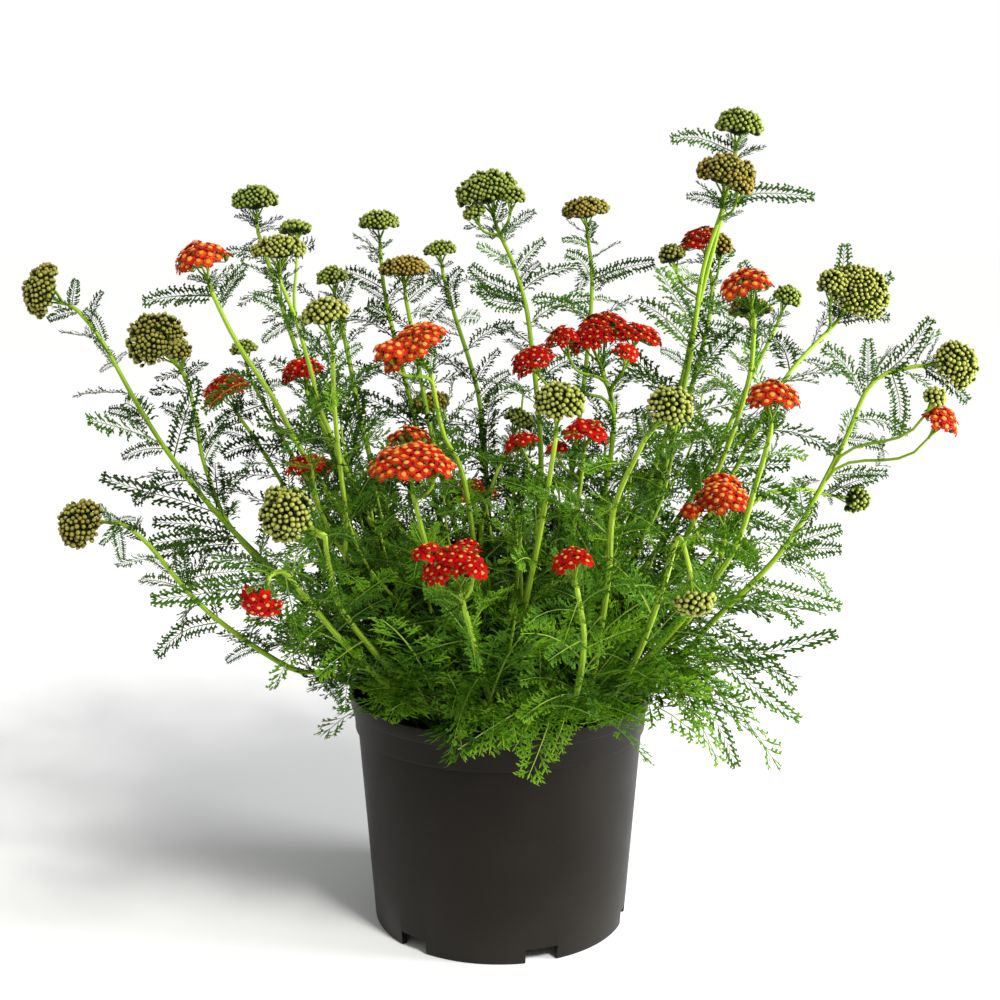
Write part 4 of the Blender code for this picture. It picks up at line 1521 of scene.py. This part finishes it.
print("triangles so far:", sum(triangles.values()))

# %% [markdown]
# ## Leaves noted one by one
#
# Leaves at random give the right crowd, but a plant is known by its outline. So the leaves that stand
# out in the front view are noted: each row holds the pixel where the leaf leaves its stem and the
# pixels it passes, the tip last. The leaf grows from whichever stem is seen nearest there, with a
# small preference for stems at the front, and its face is turned towards the front.

# %% Leaves along the outline
NOTED_LEAVES = (
    ((147, 428), (108, 410)), ((158, 452), (122, 458)), ((215, 515), (180, 500), (140, 490), (100, 477)),
    ((240, 540), (205, 526), (152, 522)), ((172, 572), (147, 557)), ((195, 578), (185, 545)),
    ((195, 578), (212, 548)), ((195, 578), (176, 541)), ((205, 562), (245, 571)),
    ((238, 598), (200, 594), (150, 600)), ((222, 622), (185, 630), (156, 656)), ((256, 647), (226, 662)),
    ((318, 675), (340, 702)), ((262, 375), (230, 388), (203, 412)), ((207, 447), (228, 414)),
    ((228, 498), (248, 470)), ((115, 527), (122, 560)), ((115, 527), (136, 519)),
    ((118, 360), (100, 372)), ((118, 360), (95, 340)), ((118, 360), (127, 352)),
    ((105, 345), (96, 322), (84, 309)), ((292, 325), (253, 295)), ((292, 322), (262, 342)),
    ((222, 300), (245, 273)), ((178, 358), (192, 372)), ((170, 318), (142, 302)),
    ((725, 205), (760, 193), (815, 197)), ((718, 205), (686, 197)), ((722, 150), (700, 138), (670, 139)),
    ((838, 290), (845, 243)), ((772, 300), (742, 261)), ((880, 380), (905, 356), (932, 318)),
    ((845, 440), (866, 442), (884, 448)), ((865, 385), (868, 338)), ((892, 375), (900, 405), (897, 437)),
    ((945, 372), (968, 402)), ((850, 310), (875, 287), (893, 275)), ((850, 310), (890, 318)),
    ((758, 590), (800, 596), (842, 607)), ((690, 660), (760, 654), (800, 643), (838, 633)),
    ((720, 660), (770, 700), (801, 720)), ((690, 680), (718, 725), (737, 768)), ((745, 650), (795, 693)),
    ((685, 680), (700, 727)), ((840, 500), (878, 478)), ((785, 560), (842, 528)), ((785, 565), (842, 549)),
    ((455, 310), (450, 285), (462, 268)), ((510, 300), (485, 280), (470, 265)),
    ((512, 310), (492, 300), (480, 285)), ((522, 285), (540, 262)), ((518, 270), (545, 240)),
    ((592, 292), (625, 270)), ((592, 280), (655, 262)), ((590, 320), (560, 300)),
    ((455, 330), (436, 318)), ((475, 385), (500, 350)), ((480, 400), (510, 372)),
    ((700, 275), (672, 290)), ((705, 300), (735, 320)), ((640, 460), (690, 440)), ((640, 480), (700, 470)),
    ((545, 500), (500, 480)), ((555, 460), (600, 470)), ((332, 400), (300, 420)), ((330, 370), (362, 345)),
    ((415, 300), (440, 280)), ((385, 300), (360, 285)), ((300, 330), (320, 350)), ((610, 540), (660, 530)),
    ((576, 600), (540, 590)), ((577, 610), (610, 590)), ((465, 610), (430, 600)), ((760, 420), (800, 400)),
    ((720, 330), (756, 345)), ((690, 370), (660, 350)), ((610, 600), (570, 560)), ((340, 480), (375, 470)),
)
QUARTERS = np.linspace(0, 1, 4, endpoint=False)[:, None, None]
STEM_POINTS = np.concatenate([
    (route[:-1] + (route[1:] - route[:-1]) * QUARTERS).reshape(-1, 3) for route in ROUTES.values()
])
STEM_PIXELS = pixel_of(STEM_POINTS)
BEHIND_COSTS = 25
LEAF_FACING = UP * 0.55 - (0, 1, 0)
NOTED_WIDTH = 32 * MM


def noted_course(pixels):
    """A leaf's course from the stem seen nearest, through these pixels."""
    away = np.linalg.norm(STEM_PIXELS - pixels[0], axis=1) + BEHIND_COSTS * STEM_POINTS[:, 1]
    foot = STEM_POINTS[np.argmin(away)]
    lean = rng.uniform(-0.10, 0.16)
    span = np.linalg.norm(np.subtract(pixels[-1], pixels[0])) * 0.5 * MM
    knots = [foot]
    for rank, pixel in enumerate(pixels[1:], 1):
        knots.append(seen_at(pixel, foot[1] - lean * span * rank / (len(pixels) - 1)))
    if len(pixels) == 2:
        knots.insert(1, (knots[0] + knots[1]) / 2 + UP * span * rng.uniform(0.05, 0.14))
    return course_through(knots, unit(LEAF_FACING + rng.normal(0, 0.22, 3)))


heap = Heap()
rows = [noted_course(pixels) for pixels in NOTED_LEAVES]
points, ups, lengths = (np.array(column) for column in zip(*rows))
tones = leaf_tone(points[:, MIDWAY]) + rng.uniform(-0.22, 0.06, len(points))
lay_leaves(heap, "stem", points, ups, lengths, tones, np.minimum(lengths, NOTED_WIDTH))
heap.piece("outline_leaves", LEAF, "leaf_green", smooth=False)
print("noted leaves:", len(points), "from %d to %d mm long" % (lengths.min() / MM, lengths.max() / MM))

# %% [markdown]
# ## The spray over the front of the rim
#
# A pale spray of several leaves hangs over the front of the pot, and some young ones show at the rim
# beside it. These rows also hold a depth in millimetres behind the pot's axis for each pixel.

# %% The front spray
FRONT_SPRAY = (
    ((540, 700, -68), (514, 714, -87), (486, 731, -95), (457, 750, -98)),
    ((556, 694, -66), (549, 722, -87), (540, 748, -94), (527, 780, -97)),
    ((536, 696, -67), (520, 712, -86), (504, 730, -92), (490, 748, -94)),
    ((566, 700, -68), (564, 720, -87), (557, 740, -92), (547, 757, -94)),
    ((545, 690, -67), (538, 706, -86), (528, 726, -93), (512, 752, -96)),
    ((500, 700, -66), (478, 715, -82), (462, 724, -84)),
    ((405, 680, -56), (398, 700, -68), (388, 722, -72)),
    ((398, 684, -54), (386, 700, -66), (372, 716, -70)),
    ((580, 724, -88), (594, 722, -88), (607, 717, -88), (621, 723, -88)),
    ((440, 676, -60), (452, 690, -68), (458, 714, -74)),
    ((505, 696, -60), (488, 672, -66), (470, 644, -70)),
)
SPRAY_TONES = (0.86, 0.80, 0.66, 0.72, 0.62, 0.70, 0.80, 0.70, 0.82, 0.74, 0.60)
SPRAY_FACING = (0, -0.8, 0.6)
rows = []
for knots in FRONT_SPRAY:
    places = [seen_at((x, y), depth * MM) for x, y, depth in knots]
    rows.append(course_through(places, SPRAY_FACING))
heap = Heap()
points, ups, lengths = (np.array(column) for column in zip(*rows))
lay_leaves(heap, "open", points, ups, lengths, np.array(SPRAY_TONES))
heap.piece("front_spray", LEAF, "leaf_green", smooth=False)
print("front spray, in mm:", [round(length / MM) for length in lengths])
print("its lowest point is at %d mm" % (points[..., 2].min() / MM))
print("triangles so far:", sum(triangles.values()))

# %% [markdown]
# ## The nursery pot
#
# The pot is thin moulded plastic: an upright lip, a band under it that tapers a little, a step, a
# tapering body, and a foot ring with six drainage notches. It is a turned shape, so it is drawn as
# half a section and swept round. The notches and drain holes are cut by Booleans, as in the measured
# model, and small rounds along the lip and the step catch the light as moulded edges do.

# %% The pot's section
RIM_RADIUS = 82.5
LIP_HEIGHT = 8.0
BAND_FOOT_RADIUS = 80.0
BODY_TOP_RADIUS = 78.6
STEP_HEIGHT = 111.0
FOOT_RADIUS = 70.3
FLOOR_UNDERSIDE = 8.5
FLOOR_TOP = 10.5
FOOT_WIDTH = 3.6
WALL = 1.9
POT_SIDES = 160
HEIGHT = POT_HEIGHT / MM
LIP_FOOT = HEIGHT - LIP_HEIGHT
SLOPE = (BODY_TOP_RADIUS - FOOT_RADIUS) / STEP_HEIGHT
FLOOR_RADIUS = FOOT_RADIUS + SLOPE * FLOOR_TOP - WALL
SECTION = (
    (0.01, FLOOR_TOP), (FLOOR_RADIUS - 1.5, FLOOR_TOP), (FLOOR_RADIUS, FLOOR_TOP + 1.5),
    (BODY_TOP_RADIUS - WALL, STEP_HEIGHT),
    (BAND_FOOT_RADIUS - WALL, STEP_HEIGHT + WALL),
    (RIM_RADIUS - WALL, LIP_FOOT),
    (RIM_RADIUS - WALL, HEIGHT - 0.8), (RIM_RADIUS - WALL + 0.25, HEIGHT - 0.22),
    (RIM_RADIUS - WALL + 0.8, HEIGHT), (RIM_RADIUS - 0.8, HEIGHT),
    (RIM_RADIUS - 0.22, HEIGHT - 0.22), (RIM_RADIUS, HEIGHT - 0.8),
    (RIM_RADIUS, LIP_FOOT + 1.0), (RIM_RADIUS - 0.2, LIP_FOOT + 0.4), (RIM_RADIUS - 0.7, LIP_FOOT),
    (RIM_RADIUS - 1.5, LIP_FOOT - 0.2), (RIM_RADIUS - 1.4, LIP_FOOT - 1.0),
    (BAND_FOOT_RADIUS + 0.1, STEP_HEIGHT + 2.0), (BAND_FOOT_RADIUS + 0.2, STEP_HEIGHT + 0.9),
    (BAND_FOOT_RADIUS, STEP_HEIGHT + 0.3), (BAND_FOOT_RADIUS - 0.5, STEP_HEIGHT),
    (BODY_TOP_RADIUS - 0.3, STEP_HEIGHT - 0.2), (BODY_TOP_RADIUS - 0.3, STEP_HEIGHT - 0.9),
    (BODY_TOP_RADIUS - 0.1, STEP_HEIGHT - 1.8),
    (FOOT_RADIUS + SLOPE * 60, 60.0), (FOOT_RADIUS + SLOPE * 30, 30.0),
    (FOOT_RADIUS + SLOPE * 1.2, 1.2), (FOOT_RADIUS - 0.3, 0.35), (FOOT_RADIUS - 0.9, 0.0),
    (FOOT_RADIUS - FOOT_WIDTH, 0.0),
    (FOOT_RADIUS - FOOT_WIDTH, FLOOR_UNDERSIDE), (0.01, FLOOR_UNDERSIDE),
)
print("section points:", len(SECTION))

# %% What cuts the pot's openings
NOTCH_COUNT = 6
NOTCH_WIDTH = 18.0
NOTCH_HEIGHT = 8.2
FIRST_NOTCH = math.radians(-41.6)
NOTCH_DEPTH = 14.0
DRAIN_COUNT = 6
DRAIN_RADIUS = 5.0
DRAIN_CIRCLE = 44.0
MERGE_NEARER = 0.02
SHARP_OVER = math.radians(35)


def add_box(bm, size, middle, turn):
    """Adds a box to bm; size and middle are in millimetres, turned about the pot's axis."""
    made = bmesh.ops.create_cube(bm, size=1.0)["verts"]
    bmesh.ops.scale(bm, verts=made, vec=Vector(size) * MM)
    bmesh.ops.translate(bm, verts=made, vec=Vector(middle) * MM)
    bmesh.ops.rotate(bm, verts=made, cent=(0, 0, 0), matrix=Matrix.Rotation(turn, 3, "Z"))


def add_drain_cutter(bm, turn):
    """Adds an upright cylinder through the floor, turned about the pot's axis."""
    made = bmesh.ops.create_cone(bm, cap_ends=True, segments=32, radius1=DRAIN_RADIUS * MM,
                                 radius2=DRAIN_RADIUS * MM, depth=8 * MM)["verts"]
    middle = Vector((DRAIN_CIRCLE, 0, (FLOOR_TOP + FLOOR_UNDERSIDE) / 2)) * MM
    bmesh.ops.translate(bm, verts=made, vec=middle)
    bmesh.ops.rotate(bm, verts=made, cent=(0, 0, 0), matrix=Matrix.Rotation(turn, 3, "Z"))


def mesh_object(name, bm):
    """An object made from bm, in the scene."""
    mesh = bpy.data.meshes.new(name)
    bm.to_mesh(mesh)
    bm.free()
    thing = bpy.data.objects.new(name, mesh)
    bpy.context.scene.collection.objects.link(thing)
    return thing


def apply_modifiers(thing):
    """Leaves the shape that the modifiers made, and no modifiers."""
    graph = bpy.context.evaluated_depsgraph_get()
    mesh = bpy.data.meshes.new_from_object(thing.evaluated_get(graph))
    thing.modifiers.clear()
    thing.data = mesh


print("to be cut:", NOTCH_COUNT, "notches and", DRAIN_COUNT, "drain holes")

# %% Sweeping and cutting the pot
bm = bmesh.new()
ring = [bm.verts.new((r * MM, 0, z * MM)) for r, z in SECTION]
edges = [bm.edges.new(pair) for pair in zip(ring, ring[1:])]
bmesh.ops.spin(bm, geom=ring + edges, cent=(0, 0, 0), axis=(0, 0, 1), angle=TAU, steps=POT_SIDES,
               use_merge=True, use_duplicate=False)
bmesh.ops.remove_doubles(bm, verts=bm.verts, dist=MERGE_NEARER * MM)
bmesh.ops.recalc_face_normals(bm, faces=bm.faces)
pot = mesh_object("pot_shell", bm)
bm = bmesh.new()
for k in range(NOTCH_COUNT):
    turn = FIRST_NOTCH + k * TAU / NOTCH_COUNT - math.pi / 2
    add_box(bm, (NOTCH_DEPTH, NOTCH_WIDTH, 2 * NOTCH_HEIGHT), (FOOT_RADIUS - 1, 0, 0), turn)
for k in range(DRAIN_COUNT):
    add_drain_cutter(bm, k * TAU / DRAIN_COUNT)
cutter = mesh_object("cutter", bm)
cut = pot.modifiers.new("openings", "BOOLEAN")
cut.operation, cut.object, cut.solver = "DIFFERENCE", cutter, "EXACT"
bpy.context.view_layer.update()
apply_modifiers(pot)
bpy.data.objects.remove(cutter)
print("pot faces:", len(pot.data.polygons))

# %% [markdown]
# ## Black plastic that has been handled
#
# The plastic is a warm near-black with a satin skin. Close up it has a faint moulded grain, pale dust
# that thickens towards the foot, and fine rings from the mould. The grain is a small bump, the dust
# is a slight change of colour and gloss, and the rings are a wave over height.

# %% The pot's material
def noise(tree, place, scale, detail):
    """A noise over these places."""
    made = node(tree, "ShaderNodeTexNoise")
    made.inputs["Scale"].default_value = scale
    made.inputs["Detail"].default_value = detail
    tree.links.new(place, made.inputs["Vector"])
    return made.outputs["Fac"]


def bump(tree, shader, height, strength, distance):
    """Raises and lowers the surface's shading by this height, in metres at full strength."""
    made = node(tree, "ShaderNodeBump")
    made.inputs["Strength"].default_value = strength
    made.inputs["Distance"].default_value = distance
    tree.links.new(height, made.inputs["Height"])
    tree.links.new(made.outputs["Normal"], shader.inputs["Normal"])


POT_PLASTIC, tree, shader = start_material("pot_plastic", 0.45, 0.16)
shader.inputs["Specular Tint"].default_value = (1.0, 0.92, 0.83, 1)
place = node(tree, "ShaderNodeTexCoord").outputs["Object"]
split = node(tree, "ShaderNodeSeparateXYZ")
tree.links.new(place, split.inputs[0])
clouds = noise(tree, place, 26.0, 5.0)
low_dust = stretch(tree, split.outputs["Z"], 0.0, 0.05, 0.35, 0.0)
dust = node(tree, "ShaderNodeMath", operation="MULTIPLY")
tree.links.new(clouds, dust.inputs[0])
tree.links.new(low_dust, dust.inputs[1])
base = ramp(tree, clouds, ((0.30, (0.0052, 0.0042, 0.0032)), (0.70, (0.0085, 0.0070, 0.0054))))
colour = mix(tree, dust.outputs[0], base, (0.040, 0.036, 0.030))
tree.links.new(colour, shader.inputs["Base Color"])
tree.links.new(stretch(tree, clouds, 0.3, 0.7, 0.38, 0.50), shader.inputs["Roughness"])
rings = node(tree, "ShaderNodeTexWave", wave_type="BANDS", bands_direction="Z", wave_profile="SIN")
rings.inputs["Scale"].default_value = 60.0
rings.inputs["Distortion"].default_value = 0.0
tree.links.new(place, rings.inputs["Vector"])
height = node(tree, "ShaderNodeMath", operation="MULTIPLY_ADD")
height.inputs[1].default_value = 0.25
tree.links.new(rings.outputs["Fac"], height.inputs[0])
tree.links.new(noise(tree, place, 1400.0, 2.0), height.inputs[2])
bump(tree, shader, height.outputs[0], 0.25, 0.00015)
pot.data.materials.clear()
pot.data.materials.append(POT_PLASTIC)
pot.data.polygons.foreach_set("use_smooth", np.full(len(pot.data.polygons), True))
pot.data.set_sharp_from_angle(angle=SHARP_OVER)
stand(pot, ("nursery_pot",))
triangles["pot_shell"] = sum(len(face.vertices) - 2 for face in pot.data.polygons)
print("pot triangles:", triangles["pot_shell"])

# %% [markdown]
# ## Potting soil
#
# The soil is seen only between leaves, but it has to be right when the plant is turned. It is a
# shallow mound of peat: a disc of rings pushed up and down by layers of waves, with crumbs of bark
# and a few white grains of perlite pressed into it.

# %% The soil's surface
SOIL_RADIUS = 77.6
SOIL_RINGS = 32
SOIL_SPOKES = 96
SOIL_UNDERSIDE = 90.0
SOIL_WAVES = [(rng.uniform(0.05, 0.45), rng.uniform(0, TAU), rng.uniform(0, TAU)) for _ in range(14)]
MOST_RISE = 1.2
EDGE_STARTS = 62.0
EDGE_SINKS = 1.6


def soil_height(x, y):
    """Height of the soil in millimetres at x, y in millimetres; it sinks towards the wall."""
    waves = [math.sin(w * (x * math.cos(a) + y * math.sin(a)) + p) * 0.05 / w for w, a, p in SOIL_WAVES]
    rise = max(-MOST_RISE, min(MOST_RISE, sum(waves)))
    edge = max(0.0, math.hypot(x, y) - EDGE_STARTS) / 15
    return SOIL_TOP / MM - 0.9 + rise - EDGE_SINKS * edge ** 2


def soil_wall(z):
    """The pot's inside radius at this height, less a hair."""
    return BODY_TOP_RADIUS - WALL - SLOPE * (STEP_HEIGHT - z) - 0.4


heap = Heap()
points = [(0, 0, soil_height(0, 0))]
for i in range(1, SOIL_RINGS + 1):
    for j in range(SOIL_SPOKES):
        r, a = SOIL_RADIUS * i / SOIL_RINGS, TAU * (j + 0.5 * (i % 2)) / SOIL_SPOKES
        x, y = r * math.cos(a), r * math.sin(a)
        points.append((x, y, soil_height(x, y)))
for j in range(SOIL_SPOKES):
    r, a = soil_wall(SOIL_UNDERSIDE), TAU * j / SOIL_SPOKES
    points.append((r * math.cos(a), r * math.sin(a), SOIL_UNDERSIDE))
points.append((0, 0, SOIL_UNDERSIDE))
faces = [(0, 1 + j, 1 + (j + 1) % SOIL_SPOKES) for j in range(SOIL_SPOKES)]
for i in range(SOIL_RINGS):
    low, high = 1 + i * SOIL_SPOKES, 1 + (i + 1) * SOIL_SPOKES
    for j in range(SOIL_SPOKES):
        k = (j + 1) % SOIL_SPOKES
        faces += [(low + j, high + j, high + k), (low + j, high + k, low + k)]
under = 1 + SOIL_RINGS * SOIL_SPOKES
faces += [(len(points) - 1, under + (j + 1) % SOIL_SPOKES, under + j) for j in range(SOIL_SPOKES)]
points = np.array(points) * MM
heap.add(points, faces, np.stack([points[:, 0] * 6 + 0.5, points[:, 1] * 6 + 0.5], axis=1))
print("soil triangles:", len(faces))

# %% The soil's material, then its crumbs
SOIL, tree, shader = start_material("peat", 0.95, 0.15)
place = node(tree, "ShaderNodeTexCoord").outputs["Object"]
grain = noise(tree, place, 420.0, 6.0)
colour = ramp(tree, grain, ((0.32, (0.006, 0.004, 0.003)), (0.50, (0.022, 0.014, 0.009)),
                            (0.66, (0.060, 0.038, 0.022))))
tree.links.new(colour, shader.inputs["Base Color"])
bump(tree, shader, noise(tree, place, 700.0, 4.0), 0.9, 0.0012)
heap.piece("peat_surface", SOIL, "soil", ("potting_soil",))

CRUMB = turned_part(((-0.25, 0.40), (0.22, 0.42)), 5, -0.5, 0.5, (0.0, 1.0), 0.14)
CRUMBS = 620
PERLITE = 46
CRUMB_REACH = 75


def scatter(name, count, sizes, material):
    """Small lumps pressed into the soil's surface."""
    heap = Heap()
    r, a = CRUMB_REACH * np.sqrt(rng.uniform(0, 1, count)), rng.uniform(0, TAU, count)
    spots = np.stack([r * np.cos(a), r * np.sin(a)], axis=1)
    feet = np.array([(x, y, soil_height(x, y) + 0.2) for x, y in spots]) * MM
    ways = unit(rng.normal(0, 1, (count, 3)))
    lay_parts(heap, CRUMB, feet, ways, rng.uniform(*sizes, count) * MM, rng.uniform(0, 1, count))
    heap.piece(name, material, "soil", smooth=False)


BARK = painted("bark_crumbs", (
    ((0.0, (0.014, 0.008, 0.005)), (1.0, (0.040, 0.024, 0.014))),
    ((0.0, (0.070, 0.040, 0.022)), (1.0, (0.130, 0.080, 0.045))),
), 0.9, 0.15)
PERLITE_WHITE = painted("perlite", (
    ((0.0, (0.55, 0.53, 0.48)), (1.0, (0.75, 0.73, 0.68))),
    ((0.0, (0.70, 0.69, 0.65)), (1.0, (0.85, 0.84, 0.80))),
), 0.85, 0.2)
scatter("bark_crumbs", CRUMBS, (1.2, 4.2), BARK)
scatter("perlite_grains", PERLITE, (1.0, 2.4), PERLITE_WHITE)
print("triangles so far:", sum(triangles.values()))

# %% [markdown]
# ## The studio
#
# The plant stands on a wide white floor in soft light. A broad sun at the upper right of the front
# does most of the lighting, a lamp at the plant's height on the right gives the pot its pale edge, and
# an even sky fills the shadows. The camera alone sees that sky as full white. The camera has the
# place, tilt and focal length that the shoots were laid out with.

# %% Floor, lamps and camera
FLOOR_SIZE = 12.0
SENSOR = 36.0
SKY_FILL = 0.42
WHITE = (1, 1, 1, 1)
bm = bmesh.new()
bmesh.ops.create_grid(bm, x_segments=2, y_segments=2, size=FLOOR_SIZE / 2)
floor = mesh_object("studio_floor", bm)
FLOOR_WHITE, _, shader = start_material("studio_white", 0.9, 0.1)
shader.inputs["Base Color"].default_value = (0.985, 0.99, 1.0, 1)
floor.data.materials.append(FLOOR_WHITE)


def lamp(name, kind, place, target, size, power, colour=(1, 1, 1)):
    """A lamp that points at its target; size is a sun's angle or a disc's width in metres."""
    light = bpy.data.lights.new(name, kind)
    light.energy, light.color = power, colour
    if kind == "SUN":
        light.angle = size
    else:
        light.shape, light.size = "DISK", size
    thing = bpy.data.objects.new(name, light)
    thing.location = place
    thing.rotation_euler = (Vector(target) - Vector(place)).to_track_quat("-Z", "Y").to_euler()
    bpy.context.scene.collection.objects.link(thing)


lamp("key", "SUN", (1.1, -1.5, 2.0), (0, 0, 0.2), math.radians(12), 2.8, (1.0, 0.98, 0.94))
lamp("right_edge", "AREA", (1.1, -0.2, 0.45), (0, 0, 0.12), 0.5, 16)
world = bpy.data.worlds.new("studio_world")
bpy.context.scene.world = world
world.use_nodes = True
tree = world.node_tree
fill = tree.nodes["Background"]
seen = node(tree, "ShaderNodeBackground")
for sky, strength in ((fill, SKY_FILL), (seen, 1.0)):
    sky.inputs["Color"].default_value = WHITE
    sky.inputs["Strength"].default_value = strength
both = node(tree, "ShaderNodeMixShader")
tree.links.new(node(tree, "ShaderNodeLightPath").outputs["Is Camera Ray"], both.inputs[0])
tree.links.new(fill.outputs[0], both.inputs[1])
tree.links.new(seen.outputs[0], both.inputs[2])
tree.links.new(both.outputs[0], tree.nodes["World Output"].inputs["Surface"])
bpy.context.scene.view_settings.view_transform = "Standard"

camera = bpy.data.objects.new("camera", bpy.data.cameras.new("camera"))
camera.location = VIEW_EYE
camera.rotation_euler = (math.pi / 2 - VIEW_PITCH, 0, 0)
camera.data.sensor_width = SENSOR
camera.data.lens = SENSOR * VIEW_FOCAL / VIEW_WIDTH
camera.data.clip_start = 0.01
bpy.context.scene.collection.objects.link(camera)
bpy.context.scene.camera = camera
print("camera lens: %.1f mm" % camera.data.lens)

# %% [markdown]
# ## The largest pieces
#
# The five pieces with the most triangles are printed, then the count for all of them.

# %% Triangle counts
bpy.context.view_layer.update()
for name in sorted(triangles, key=triangles.get)[-5:]:
    print(name, triangles[name])
print("triangles in all:", sum(triangles.values()), "in", len(triangles), "pieces")
